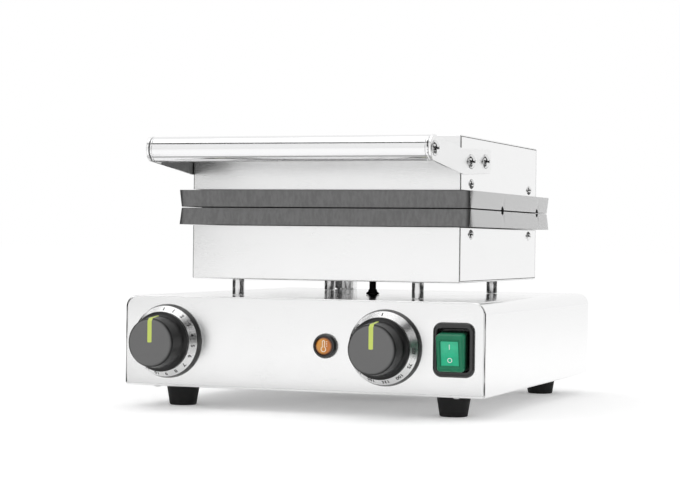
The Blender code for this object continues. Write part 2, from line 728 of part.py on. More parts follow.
def feet():
    """Tapered rubber feet with a recess for their screw."""
    top = PAN_BOTTOM - SEAT_GAP
    bore = SMALL_SHANK_RADIUS + SEAT_GAP
    profile = [(bore, FOOT_RECESS_DEPTH), (FOOT_RECESS_RADIUS, FOOT_RECESS_DEPTH), (FOOT_RECESS_RADIUS, 0),
               (FOOT_BOTTOM_RADIUS - SEAT_GAP, 0), (FOOT_BOTTOM_RADIUS, 2 * SEAT_GAP), (FOOT_TOP_RADIUS, top),
               (bore, top)]
    for x, y in foot_places():
        body = Solid()
        body.turned(profile, along_z, (x, y), ROUND_SIDES, closed=True)
        body.make(corner_name("foot", x, y), "rubber", smooth=True)


def posts():
    """Polished posts between base and lower housing, each with a stud and nut through either sheet."""
    low, high = BASE_TOP + SEAT_GAP, HOUSING_BOTTOM - SEAT_GAP
    under = BASE_TOP - BASE_SHEET - SEAT_GAP
    over = HOUSING_BOTTOM + HOUSING_SHEET + SEAT_GAP
    thread, nut = STUD_RADIUS, NUT_RADIUS
    profile = [(thread, low - STUD_REACH), (thread, under - NUT_HEIGHT), (nut, under - NUT_HEIGHT),
               (nut, under), (thread, under), (thread, low), (POST_RADIUS, low), (POST_RADIUS, high),
               (thread, high), (thread, over), (nut, over), (nut, over + NUT_HEIGHT),
               (thread, over + NUT_HEIGHT), (thread, high + STUD_REACH)]
    for x, y in post_places():
        bar = Solid()
        bar.turned(profile, along_z, (x, y), POST_SIDES)
        bar.make(corner_name("post", x, y), "polished_steel", smooth=True)


def dial(name, x, case_width, case_height, case_depth):
    """Fixed parts of one control: bezel with a hollow cone for its scale, and the case behind the panel."""
    centre = (x, DIAL_Z)
    face = FRONT_Y - SEAT_GAP
    floor, rim, cone = FRONT_Y - BEZEL_FLOOR, FRONT_Y - BEZEL_DEPTH, FRONT_Y - BEZEL_CONE_DEPTH
    bore = SPINDLE_RADIUS + SPINDLE_GAP
    profile = [(bore, face), (BEZEL_RADIUS, face), (BEZEL_RIM_RADIUS, rim), (BEZEL_CONE_RADIUS, cone),
               (BEZEL_CONE_RADIUS - BEZEL_WALL, cone), (BEZEL_RIM_RADIUS - 2 * BEZEL_WALL, floor), (bore, floor)]
    bezel = Solid()
    bezel.turned(profile, along_y, centre, FINE_SIDES, closed=True)
    item = bezel.make(f"{name}_bezel", "bezel_black", smooth=True)
    holes = Solid()
    for side in (-1, 1):
        holes.rod(along_y, (x + side * DIAL_SCREW_PITCH / 2, DIAL_Z), SMALL_SHANK_RADIUS + SEAT_GAP,
                  FRONT_Y - BEZEL_DEPTH - CUT_OVERRUN, FRONT_Y + CUT_OVERRUN)
    holes.cut_from(item)

    front = FRONT_Y + BASE_SHEET + SEAT_GAP
    case = Solid()
    case.box((x - case_width / 2, front, DIAL_Z - case_height / 2),
             (x + case_width / 2, front + case_depth, DIAL_Z + case_height / 2))
    item = case.make(f"{name}_case", "bezel_black")
    holes = Solid()
    holes.rod(along_y, centre, SPINDLE_RADIUS + SPINDLE_GAP,
              front - CUT_OVERRUN, front + SPINDLE_SEAT + SEAT_GAP)
    for side in (-1, 1):
        holes.rod(along_y, (x + side * DIAL_SCREW_PITCH / 2, DIAL_Z), SMALL_SHANK_RADIUS + SEAT_GAP,
                  front - CUT_OVERRUN, front + SCREW_REACH)
    holes.cut_from(item)


def knob(name, x):
    """Knob with its pointer rib and its spindle through the panel, on an empty on the spindle's axis."""
    carrier = axis_empty(f"{name}_axis", (x, FRONT_Y, DIAL_Z))
    centre = (x, DIAL_Z)
    base, face = KNOB_BASE_Y, KNOB_BASE_Y - KNOB_HEIGHT
    side = [(KNOB_RADIUS, base), (KNOB_RADIUS, base - KNOB_LIP),
            (KNOB_RADIUS - KNOB_LIP_STEP, base - KNOB_LIP - KNOB_LIP_STEP)]
    rim = KNOB_SHOULDER_RADIUS - KNOB_FACE_RADIUS
    quarter = arc((0, 0), 1, 0, 90, BEND_STEPS)
    shoulder = [(KNOB_FACE_RADIUS + rim * u, face + KNOB_SHOULDER * (1 - v)) for u, v in quarter]
    tip = FRONT_Y + BASE_SHEET + SEAT_GAP + SPINDLE_SEAT
    cap = Solid()
    cap.turned([(SPINDLE_RADIUS, tip), (SPINDLE_RADIUS, base), *side, *shoulder], along_y, centre, FINE_SIDES)
    item = cap.make(f"{name}_knob", "knob_black", carrier, smooth=True)

    drop = POINTER_DROP_SHARE
    low = Vector(side[-1]).lerp(Vector(shoulder[0]), drop)
    crest = [(y, DIAL_Z + r) for r, y in (low, *shoulder, (POINTER_WIDTH / 2, face))]
    outline = sheet(sheet(crest, -POINTER_RISE)[len(crest):][::-1], POINTER_RISE + JOIN_OVERLAP)
    rib = Solid()
    rib.prism(outline, along_x, x - POINTER_WIDTH / 2, x + POINTER_WIDTH / 2)
    rib.join_to(item)


def lamp():
    """Round pilot lamp: black bezel with its barrel through the panel, and an amber lens."""
    centre = (LAMP_X, DIAL_Z)
    face, front = FRONT_Y - SEAT_GAP, FRONT_Y - LAMP_DEPTH
    seat = front + LAMP_LENS_DEPTH + LAMP_LENS_DOME
    profile = [(LAMP_BORE_RADIUS, seat), (LAMP_BORE_RADIUS, front), (LAMP_RIM_RADIUS, front),
               (LAMP_RADIUS, front + (face - front) / 3), (LAMP_RADIUS, face), (LAMP_BARREL_RADIUS, face),
               (LAMP_BARREL_RADIUS, face + LAMP_BARREL_LENGTH)]
    body = Solid()
    body.turned(profile, along_y, centre, ROUND_SIDES)
    body.make("lamp_bezel", "bezel_black", smooth=True)
    lens_radius, back = LAMP_BORE_RADIUS - SEAT_GAP, seat - SEAT_GAP
    rim = back - LAMP_LENS_DEPTH
    lens = Solid()
    lens.turned([(lens_radius, back), (lens_radius, rim),
                 (lens_radius * LENS_WAIST_SHARE, rim - LAMP_LENS_DOME * LENS_WAIST_HEIGHT_SHARE),
                 (lens_radius * LENS_CROWN_SHARE, rim - LAMP_LENS_DOME)], along_y, centre, ROUND_SIDES)
    lens.make("lamp_lens", "lens_amber", smooth=True)


def switch():
    """Rocker switch: framed body through the panel, and the turning rocker with its green boot and key."""
    centre = (SWITCH_X, DIAL_Z)
    well = (ROCKER_WIDTH + 2 * ROCKER_SIDE_GAP, ROCKER_HEIGHT + 2 * ROCKER_END_GAP)
    rings = []
    for width, height, radius, depth in (
            (*well, ROCKER_CORNER, SWITCH_RECESS), (*well, ROCKER_CORNER, -SWITCH_PROUD),
            (SWITCH_WIDTH - ROCKER_CORNER, SWITCH_HEIGHT - ROCKER_CORNER, SWITCH_CORNER - ROCKER_CORNER / 2,
             -SWITCH_PROUD),
            (SWITCH_WIDTH, SWITCH_HEIGHT, SWITCH_CORNER, -SWITCH_PROUD / 2),
            (SWITCH_WIDTH, SWITCH_HEIGHT, SWITCH_CORNER, -SEAT_GAP),
            (SWITCH_BODY_WIDTH, SWITCH_BODY_HEIGHT, ROCKER_CORNER, -SEAT_GAP),
            (SWITCH_BODY_WIDTH, SWITCH_BODY_HEIGHT, ROCKER_CORNER, SWITCH_BODY_DEPTH)):
        outline = rectangle(width, height, radius, centre=centre)
        rings.append([along_y(u, v, FRONT_Y + depth) for u, v in outline])
    body = Solid()
    body.loft(rings)
    item = body.make("switch_body", "bezel_black", smooth=True)
    pivot_y = FRONT_Y + ROCKER_PIVOT_DEPTH
    bores = Solid()
    half = well[0] / 2 + ROCKER_PIN_REACH + SEAT_GAP
    bores.rod(along_x, (pivot_y, DIAL_Z), ROCKER_PIN_RADIUS + HINGE_PIN_GAP, SWITCH_X - half, SWITCH_X + half)
    bores.cut_from(item)

    carrier = axis_empty("rocker_axis", (SWITCH_X, pivot_y, DIAL_Z))
    carrier.rotation_euler = (math.radians(ROCKER_TILT), 0, 0)
    front = -ROCKER_PIVOT_DEPTH - ROCKER_PROUD
    root = -ROCKER_PIVOT_DEPTH + ROCKER_ROOT
    wall = ROCKER_WALL
    inner_top = front + wall
    rings = []
    for width, height, depth in (
            (ROCKER_WIDTH - 2 * (ROCKER_BEVEL + wall), ROCKER_HEIGHT - 2 * (ROCKER_BEVEL + wall), inner_top),
            (ROCKER_WIDTH - 2 * wall, ROCKER_HEIGHT - 2 * wall, inner_top + ROCKER_BEVEL),
            (ROCKER_WIDTH - 2 * wall, ROCKER_HEIGHT - 2 * wall, root), (ROCKER_WIDTH, ROCKER_HEIGHT, root),
            (ROCKER_WIDTH, ROCKER_HEIGHT, front + ROCKER_BEVEL),
            (ROCKER_WIDTH - 2 * ROCKER_BEVEL, ROCKER_HEIGHT - 2 * ROCKER_BEVEL, front)):
        rings.append([along_y(u, v, depth) for u, v in rectangle(width, height, ROCKER_CORNER)])
    boot = Solid()
    boot.loft(rings)
    boot.make("switch_boot", "boot_green", smooth=True).parent = carrier

    shrink = wall + SEAT_GAP
    rings = []
    for width, height, depth in (
            (ROCKER_WIDTH - 2 * (ROCKER_BEVEL + shrink), ROCKER_HEIGHT - 2 * (ROCKER_BEVEL + shrink),
             front + shrink),
            (ROCKER_WIDTH - 2 * shrink, ROCKER_HEIGHT - 2 * shrink, front + shrink + ROCKER_BEVEL),
            (ROCKER_WIDTH - 2 * shrink, ROCKER_HEIGHT - 2 * shrink, ROCKER_PIN_RADIUS)):
        rings.append([along_y(u, v, depth) for u, v in rectangle(width, height, ROCKER_CORNER)])
    core = Solid()
    core.loft(rings)
    item = core.make("switch_rocker", "bezel_black", smooth=True)
    item.parent = carrier
    pin = Solid()
    reach = well[0] / 2 + ROCKER_PIN_REACH
    pin.rod(along_x, (0, 0), ROCKER_PIN_RADIUS, -reach, reach)
    tool = pin.join_to(item).modifiers[-1].object
    tool.parent = carrier


def leads():
    """Sensor lead from the thermostat to the lower plate, its grommet, and the conduit to the lid."""
    case_back = FRONT_Y + BASE_SHEET + SEAT_GAP + THERMOSTAT_CASE_DEPTH
    start = Vector((THERMOSTAT_X, case_back + SEAT_GAP, DIAL_Z))
    top = Vector((LEAD_X, LEAD_Y, LOWER_PLATE_BOTTOM - SEAT_GAP))
    foot = Vector((LEAD_X, LEAD_Y, BASE_TOP - BASE_SHEET - SEAT_GAP))
    run = LEAD_Y - case_back
    points = bezier(start, start + Vector((0, run * LEAD_SLACK_SHARE, 0)),
                    foot - Vector((0, 0, run * LEAD_RISE_SHARE)), foot, LEAD_STEPS)
    points.append(top)
    pipe("sensor_lead", points, LEAD_RADIUS, "rubber")

    under = BASE_TOP - BASE_SHEET - SEAT_GAP
    seat = BASE_TOP + SEAT_GAP
    bore = LEAD_RADIUS + SEAT_GAP
    profile = [(bore, under), (GROMMET_NECK_RADIUS, under), (GROMMET_NECK_RADIUS, seat),
               (GROMMET_FLANGE_RADIUS, seat), (GROMMET_FLANGE_RADIUS, seat + GROMMET_FLANGE),
               (GROMMET_TIP_RADIUS + SEAT_GAP, seat + GROMMET_FLANGE * 2),
               (GROMMET_TIP_RADIUS, seat + GROMMET_HEIGHT), (bore, seat + GROMMET_HEIGHT)]
    ring = Solid()
    ring.turned(profile, along_z, (LEAD_X, LEAD_Y), ROUND_SIDES, closed=True)
    ring.make("lead_grommet", "rubber", smooth=True)

    fitting("base_conduit_fitting", along_z, (CONDUIT_X, CONDUIT_Y), BASE_TOP, 1, BASE_SHEET)
    start = Vector((CONDUIT_X, CONDUIT_Y, BASE_TOP + CONDUIT_END))
    stop = Vector((CONDUIT_X, HOUSING_BACK + CONDUIT_END, CONDUIT_LID_Z))
    low, high = start + Vector((0, 0, CONDUIT_RADIUS)), stop + Vector((0, CONDUIT_RADIUS, 0))
    pulls = low + Vector((0, 0, CONDUIT_BOW)), high + Vector((0, CONDUIT_BOW, 0))
    middle = bezier(low, *pulls, high, CONDUIT_STEPS)
    pipe("lid_conduit", [start, *middle, stop], CONDUIT_RADIUS, "polished_steel")


def fitting(name, place, centre, face, out, wall, carrier=None):
    """Hexagonal conduit fitting through a wall: neck in the hole, hexagon on the face, round collar on top."""
    seat = face + out * SEAT_GAP
    top = seat + out * CONDUIT_FITTING_HEIGHT
    body = Solid()
    turn = 360 / HEX_SIDES
    hexagon = arc(centre, CONDUIT_FITTING_RADIUS, turn / 2, 360 - turn / 2, HEX_SIDES - 1)
    body.prism(hexagon, place, seat, top)
    item = body.make(name, "polished_steel", carrier)
    collar = Solid()
    for start, stop in ((top - out * JOIN_OVERLAP, top + out * CONDUIT_NECK_HEIGHT),
                        (face - out * (wall + SEAT_GAP), seat + out * JOIN_OVERLAP)):
        collar.rod(place, centre, CONDUIT_NECK_RADIUS, start, stop, sides=ROUND_SIDES)
    collar.join_to(item)


def cord_gland():
    """Gland in the back panel where the supply cord goes in."""
    centre = (GLAND_X, BASE_BOTTOM + GLAND_RISE)
    face, end = BACK_Y + SEAT_GAP, BACK_Y + GLAND_PROUD
    inside = BACK_Y - BASE_SHEET - 2 * SEAT_GAP - NUT_HEIGHT
    profile = [(GLAND_BORE_RADIUS, inside), (GLAND_THREAD_RADIUS, inside), (GLAND_THREAD_RADIUS, face),
               (GLAND_RADIUS, face), (GLAND_RADIUS, (face + end) / 2), (GLAND_THREAD_RADIUS, end),
               (GLAND_BORE_RADIUS, end)]
    body = Solid()
    body.turned(profile, along_y, centre, ROUND_SIDES, closed=True)
    body.make("cord_gland", "bezel_black", smooth=True)


def terminal_block():
    """Ceramic block on the bottom pan where the supply is joined to the wiring."""
    x, y, seat = GLAND_X, BACK_Y - GLAND_RISE - BLOCK_DEPTH, PAN_TOP + SEAT_GAP
    block = Solid()
    block.box((x - BLOCK_WIDTH / 2, y - BLOCK_DEPTH / 2, seat),
              (x + BLOCK_WIDTH / 2, y + BLOCK_DEPTH / 2, seat + BLOCK_HEIGHT))
    item = block.make("terminal_block", "ceramic")
    cuts = Solid()
    way = BLOCK_WIDTH / BLOCK_WAYS
    for i in range(1, BLOCK_WAYS):
        left = x - BLOCK_WIDTH / 2 + i * way - BLOCK_SLOT / 2
        cuts.box((left, y - BLOCK_DEPTH, seat + BLOCK_HEIGHT / 2),
                 (left + BLOCK_SLOT, y + BLOCK_DEPTH, seat + BLOCK_HEIGHT * 2))
    cuts.cut_from(item)


def housing(side, name, height, finish="satin_steel", carrier=None):
    """Housing round one plate's heater: a sheet folded up front and back, and a flat cover inside each end."""
    edge = CARRIER_REACH
    far = edge + height
    x = HOUSING_WIDTH / 2
    path = rounded([(HOUSING_FRONT, level(side, edge)), (HOUSING_FRONT, level(side, far)),
                    (HOUSING_BACK, level(side, far)), (HOUSING_BACK, level(side, edge))],
                   [0, HOUSING_BEND, HOUSING_BEND, 0], CORNER_STEPS)
    tray = Solid()
    tray.prism(sheet(path, -side * HOUSING_SHEET), along_x, -x, x)
    item = tray.make(name, finish, carrier, smooth=True)
    holes = Solid()
    if side > 0:
        floor = level(side, far)
        for centre in post_places():
            holes.rod(along_z, centre, STUD_RADIUS + SEAT_GAP, floor - CUT_OVERRUN, floor + CUT_OVERRUN)
        holes.rod(along_z, (LEAD_X, LEAD_Y), LEAD_RADIUS + 2 * SEAT_GAP,
                  floor - CUT_OVERRUN, floor + CUT_OVERRUN)
    else:
        holes.rod(along_y, (CONDUIT_X, CONDUIT_LID_Z), CONDUIT_NECK_RADIUS + SEAT_GAP,
                  HOUSING_BACK - CUT_OVERRUN, HOUSING_BACK + CUT_OVERRUN, ROUND_SIDES)
    for x_screw, z in hinge_screw_places(side):
        holes.rod(along_y, (x_screw, z), SIDE_SHANK_RADIUS + SEAT_GAP,
                  HOUSING_BACK - CUT_OVERRUN, HOUSING_BACK + CUT_OVERRUN)
    holes.cut_from(item)

    places = [(y, level(side, edge + SIDE_SCREW_DROP)) for y in SIDE_SCREW_YS]
    low, high = sorted((level(side, edge), level(side, far - HOUSING_SHEET - COVER_GAP)))
    wall = HOUSING_SHEET + COVER_GAP
    for hand, word in ((-1, "left"), (1, "right")):
        faces = sorted((hand * x, hand * (x - HOUSING_SHEET)))
        cover = Solid()
        cover.box((faces[0], HOUSING_FRONT + wall, low), (faces[1], HOUSING_BACK - wall, high))
        item = cover.make(f"{name}_side_{word}", finish, carrier)
        holes = Solid()
        low_x, high_x = faces[0] - CUT_OVERRUN, faces[1] + CUT_OVERRUN
        for centre in places:
            holes.rod(along_x, centre, SIDE_SHANK_RADIUS + SEAT_GAP, low_x, high_x)
        if side < 0:
            for centre in bracket_screw_places():
                holes.rod(along_x, centre, HANDLE_SHANK_RADIUS + SEAT_GAP, low_x, high_x)
        holes.cut_from(item)


def carrier_frame(side, name, carrier=None):
    """Folded frame across the housing that ties its sides together and carries the plate."""
    x = CARRIER_X
    top, end = level(side, CARRIER_REACH), level(side, CARRIER_REACH + CARRIER_TAB)
    path = [(-x, end), (-x, top), (x, top), (x, end)]
    blank = Solid()
    start, stop = WINDOW_FRONT - CARRIER_WIDTH, WINDOW_BACK + CARRIER_WIDTH
    blank.prism(sheet(path, side * CARRIER_SHEET), along_y, start, stop)
    item = blank.make(name, "zinc", carrier)
    window = Solid()
    window.box((-WINDOW_X, WINDOW_FRONT, min(top, end) - CUT_OVERRUN),
               (WINDOW_X, WINDOW_BACK, max(top, end) + CUT_OVERRUN))
    window.cut_from(item)
    holes = Solid()
    for y in SIDE_SCREW_YS:
        holes.rod(along_x, (y, level(side, CARRIER_REACH + SIDE_SCREW_DROP)), SIDE_SHANK_RADIUS + SEAT_GAP,
                  -x - CUT_OVERRUN, x + CUT_OVERRUN)
        for centre in mirrored((PLATE_BOSS_X, y)):
            holes.rod(along_z, centre, PLATE_SCREW_RADIUS + SEAT_GAP,
                      *sorted((top - side * CARRIER_SHEET * 2, top + side * CUT_OVERRUN)))
    holes.cut_from(item)


def plate_rows():
    """Middle line of each waffle mould and the side its stick leaves by, from the front row to the back."""
    for row in range(WAFFLE_COUNT):
        yield PLATE_Y + (row - (WAFFLE_COUNT - 1) / 2) * WAFFLE_PITCH, -1 if row % 2 == 0 else 1


def waffle_outline(y, hand, inset):
    """Outline of one mould: a long tongue that narrows towards its stick."""
    tail = -PLATE_WIDTH / 2 + WAFFLE_MARGIN + inset
    mouth = tail + WAFFLE_LENGTH - 2 * inset
    half, neck = WAFFLE_WIDTH / 2 - inset, WAFFLE_NECK_WIDTH / 2 - inset
    corners = [(tail, -half), (mouth - WAFFLE_TAPER, -half), (mouth, -neck),
               (mouth, neck), (mouth - WAFFLE_TAPER, half), (tail, half)]
    radii = [WAFFLE_CORNER, WAFFLE_CORNER, WAFFLE_CORNER / 2] * 2
    return [(hand * u, y + v) for u, v in rounded(corners, radii, CORNER_STEPS)]


def plate(side, name, carrier=None):
    """Cast plate with four moulds, rows of studs in them and a stick channel from each."""
    face, back = level(side, PLATE_GAP / 2), level(side, PLATE_REACH)
    edge = face + (back - face) * PLATE_EDGE / PLATE_THICKNESS
    rings = []
    for inset, z in ((PLATE_DRAFT + PLATE_EDGE, face), (PLATE_DRAFT, edge), (0, back)):
        outline = rectangle(PLATE_WIDTH - 2 * inset, PLATE_DEPTH - 2 * inset, PLATE_CORNER, centre=(0, PLATE_Y))
        rings.append([along_z(u, v, z) for u, v in outline])
    body = Solid()
    body.loft(rings)
    item = body.make(name, "cast_plate", carrier, smooth=True)

    bosses = Solid()
    for y in SIDE_SCREW_YS:
        for centre in mirrored((PLATE_BOSS_X, y)):
            bosses.rod(along_z, centre, PLATE_BOSS_RADIUS,
                       *sorted((back - (back - face) / 4, level(side, CARRIER_REACH - SEAT_GAP))))
    bosses.join_to(item)

    moulds = Solid()
    for y, hand in plate_rows():
        rings = []
        widening = WAFFLE_DRAFT * CUT_OVERRUN / WAFFLE_DEPTH
        for reach, inset in ((-CUT_OVERRUN, -widening), (WAFFLE_DEPTH, WAFFLE_DRAFT)):
            rings.append([along_z(u, v, level(side, reach)) for u, v in waffle_outline(y, hand, inset)])
        moulds.loft(rings)
    moulds.cut_from(item)

    sticks = Solid()
    for y, hand in plate_rows():
        start = hand * (-PLATE_WIDTH / 2 + WAFFLE_MARGIN + WAFFLE_LENGTH - WAFFLE_CORNER)
        half, deep = STICK_WIDTH / 2, STICK_HEIGHT / 2
        mouth, shoulder = level(side, -CUT_OVERRUN), level(side, deep * STICK_SHOULDER_SHARE)
        outline = [(y - half, mouth), (y - half, shoulder), (y, level(side, deep)),
                   (y + half, shoulder), (y + half, mouth)]
        sticks.prism(outline, along_x, *sorted((start, hand * (PLATE_WIDTH / 2 + CUT_OVERRUN))))
    sticks.cut_from(item)

    studs = Solid()
    floor, top = level(side, WAFFLE_DEPTH + JOIN_OVERLAP), level(side, WAFFLE_DEPTH - MOULD_STUD_HEIGHT)
    margin = MOULD_STUD_EDGE + MOULD_STUD_SIZE / 2
    run = WAFFLE_LENGTH - WAFFLE_TAPER * MOULD_TAPER_SHARE - 2 * margin
    sizes = (MOULD_STUD_SIZE, floor), (MOULD_STUD_SIZE - 2 * MOULD_STUD_TAPER, top)
    for y, hand in plate_rows():
        for column in range(STUD_COLUMNS):
            u = -PLATE_WIDTH / 2 + WAFFLE_MARGIN + margin + column * run / (STUD_COLUMNS - 1)
            for row in range(STUD_ROWS):
                v = y + (row - (STUD_ROWS - 1) / 2) * (MOULD_STUD_SIZE + MOULD_STUD_GAP)
                rings = [[along_z(p, q, z) for p, q in rectangle(size, size, 0, centre=(hand * u, v))]
                         for size, z in sizes]
                studs.loft(rings)
    studs.join_to(item)

    holes = Solid()
    for y in SIDE_SCREW_YS:
        for centre in mirrored((PLATE_BOSS_X, y)):
            start, stop = level(side, PLATE_REACH - PLATE_SCREW_GRIP), level(side, CARRIER_REACH + CUT_OVERRUN)
            holes.rod(along_z, centre, PLATE_SCREW_RADIUS + SEAT_GAP, min(start, stop), max(start, stop))
    holes.cut_from(item)


def heater_rows():
    """Y of each straight run of a heater."""
    return [HEATER_FRONT + i * HEATER_PITCH for i in range(HEATER_RUNS)]


def heater(side, name, carrier=None):
    """Tubular heater: straight runs joined by half turns, both ends bent away from the plate."""
    z, radius, reach = level(side, HEATER_REACH), HEATER_PITCH / 2, HEATER_TURN_X
    rows = heater_rows()
    flat = []
    for i, y in enumerate(rows):
        ends = (-reach, reach) if i % 2 == 0 else (reach, -reach)
        flat += [(ends[0], y), (ends[1], y)]
        if i < HEATER_RUNS - 1:
            swing = (-90, 90) if i % 2 == 0 else (270, 90)
            flat += arc((ends[1], y + radius), radius, *swing, HEATER_TURN_STEPS)[1:-1]
    points = [Vector((x, y, z)) for x, y in flat]
    bend = 2 * HEATER_RADIUS
    legs = []
    for tip in (points[0], points[-1]):
        down = [tip + Vector((-u, 0, side * (v - bend))) for v, u in arc((0, 0), bend, 0, 90, 2)[1:]]
        legs.append([*down, down[-1] - Vector((0, 0, side * HEATER_LEG))])
    pipe(name, legs[0][::-1] + points + legs[1], HEATER_RADIUS, "heater_alloy", carrier)


def wool(side, name, height, carrier=None):
    """Slab of mineral wool between heater and housing, with holes for the heater's legs and the lead."""
    near = WOOL_REACH
    if side > 0:
        far = PARTING - HOUSING_BOTTOM - HOUSING_SHEET - 2 * SEAT_GAP - STUD_REACH
    else:
        far = CARRIER_REACH + height - HOUSING_SHEET - SEAT_GAP
    x = HOUSING_WIDTH / 2 - HOUSING_SHEET - WOOL_EDGE_GAP
    low, high = sorted((level(side, near), level(side, far)))
    slab = Solid()
    slab.box((-x, HOUSING_FRONT + WOOL_EDGE_GAP, low), (x, HOUSING_BACK - WOOL_EDGE_GAP, high))
    item = slab.make(name, "mineral_wool", carrier)
    holes = Solid()
    room = HEATER_RADIUS + 2 * SEAT_GAP
    reach = HEATER_TURN_X
    for y in (heater_rows()[0], heater_rows()[-1]):
        holes.box((-reach - 2 * HEATER_RADIUS - room, y - room, low - CUT_OVERRUN),
                  (-reach, y + room, high + CUT_OVERRUN))
    if side > 0:
        holes.rod(along_z, (LEAD_X, LEAD_Y), LEAD_RADIUS + 2 * SEAT_GAP, low - CUT_OVERRUN, high + CUT_OVERRUN)
    holes.cut_from(item)


def bracket_spot(along, rise):
    """(y, z) on the tilted rear part of a bracket, from the housing's front along its middle line and over it."""
    middle = BRACKET_SCREW_INSET + BRACKET_SCREW_PITCH / 2
    tilt = math.radians(BRACKET_TILT)
    y = (along - middle) * math.cos(tilt) - rise * math.sin(tilt)
    z = (along - middle) * math.sin(tilt) + rise * math.cos(tilt)
    return HOUSING_FRONT + middle + y, BRACKET_Z + z


def bracket_screw_places():
    """(y, z) of the screws that hold each handle bracket to the lid."""
    return [bracket_spot(BRACKET_SCREW_INSET, 0.0), bracket_spot(BRACKET_SCREW_INSET + BRACKET_SCREW_PITCH, 0.0)]


def handle(carrier):
    """Round bar in front of the lid between two flat brackets, with their domed screws."""
    half = BRACKET_HEIGHT / 2
    rear = rounded([bracket_spot(0.0, half), bracket_spot(BRACKET_TAIL, half), bracket_spot(BRACKET_TAIL, -half),
                    bracket_spot(0.0, -half)], [0, BRACKET_CORNER, BRACKET_CORNER, 0], CORNER_STEPS)
    nose = arc((BAR_Y, BAR_Z), BRACKET_END_RADIUS, NOSE_START, NOSE_STOP, BEND_STEPS * 2)
    front, back = bracket_screw_places()
    places = (("bar_screw", (BAR_Y, BAR_Z)), ("bracket_screw_front", front), ("bracket_screw_back", back))
    head = (HANDLE_HEAD_RADIUS, HANDLE_HEAD_HEIGHT)
    for hand, word in ((-1, "left"), (1, "right")):
        faces = sorted((hand * BRACKET_INNER_X, hand * BRACKET_OUTER_X))
        plate_piece = Solid()
        plate_piece.prism(rear + nose, along_x, *faces)
        item = plate_piece.make(f"handle_bracket_{word}", "satin_steel", carrier, smooth=True)
        holes = Solid()
        for _, centre in places:
            holes.rod(along_x, centre, HANDLE_SHANK_RADIUS + SEAT_GAP,
                      faces[0] - CUT_OVERRUN, faces[1] + CUT_OVERRUN)
        holes.cut_from(item)
        for name, centre in places:
            screw = Solid()
            screw.screw(along_x, centre, hand * (BRACKET_OUTER_X + SEAT_GAP), hand, head, HANDLE_SHANK_RADIUS,
                        SCREW_REACH + BRACKET_SHEET)
            screw.make(f"{name}_{word}", "polished_steel", carrier, smooth=True)

    end, bore = BRACKET_INNER_X - SEAT_GAP, HANDLE_SHANK_RADIUS + SEAT_GAP
    deep = end - SCREW_REACH - SEAT_GAP
    right = [(HANDLE_RADIUS, end - HANDLE_CAP_CHAMFER), (HANDLE_RADIUS - HANDLE_CAP_CHAMFER, end),
             (bore, end), (bore, deep)]
    bar = Solid()
    bar.turned([(r, -x) for r, x in right[::-1]] + right, along_x, (BAR_Y, BAR_Z), ROUND_SIDES)
    bar.make("handle_bar", "polished_steel", carrier, smooth=True)


def hinge_screw_places(side):
    """(x, z) of the screws that hold the hinge leaves to a housing's back."""
    z = level(side, HINGE_LEAF_OFFSET + HINGE_LEAF_HEIGHT / 2)
    half = HINGE_SCREW_PITCH / 2
    return [(x, z + step) for x in (-HINGE_X, HINGE_X) for step in (-half, half)]


def stop_centre():
    """(y, z) of the stop pin that the lid's heel meets when the lid is fully open."""
    angle = math.radians(STOP_ANGLE)
    return HINGE_Y + STOP_DISTANCE * math.cos(angle), PARTING + STOP_DISTANCE * math.sin(angle)


def hinge_leaf(side, name, half_width, ear_outline, carrier=None):
    """Leaves on the back of a housing, each with two ears that reach back to its hinge pin."""
    low, high = sorted((level(side, HINGE_LEAF_OFFSET), level(side, HINGE_LEAF_OFFSET + HINGE_LEAF_HEIGHT)))
    for x, word in ((-HINGE_X, "left"), (HINGE_X, "right")):
        web, ears = Solid(), Solid()
        web.box((x - half_width, HINGE_WEB_FRONT, low), (x + half_width, HINGE_WEB_BACK, high))
        for hand in (-1, 1):
            outer = x + hand * half_width
            ears.prism(ear_outline, along_x, *sorted((outer, outer - hand * HINGE_SHEET)))
        item = web.make(f"{name}_{word}", "satin_steel", carrier)
        ears.join_to(item)
        holes = Solid()
        start, stop = x - HINGE_WIDTH, x + HINGE_WIDTH
        holes.rod(along_x, (HINGE_Y, PARTING), HINGE_PIN_RADIUS + HINGE_PIN_GAP, start, stop, POST_SIDES)
        for centre in hinge_screw_places(side):
            if abs(centre[0] - x) < half_width:
                holes.rod(along_y, centre, SIDE_SHANK_RADIUS + SEAT_GAP,
                          HINGE_WEB_FRONT - CUT_OVERRUN, HINGE_WEB_BACK + CUT_OVERRUN)
        holes.cut_from(item)
        if side > 0:
            stop_pin = Solid()
            span = half_width - HINGE_SHEET / 2
            stop_pin.rod(along_x, stop_centre(), STOP_RADIUS, x - span, x + span)
            stop_pin.join_to(item)


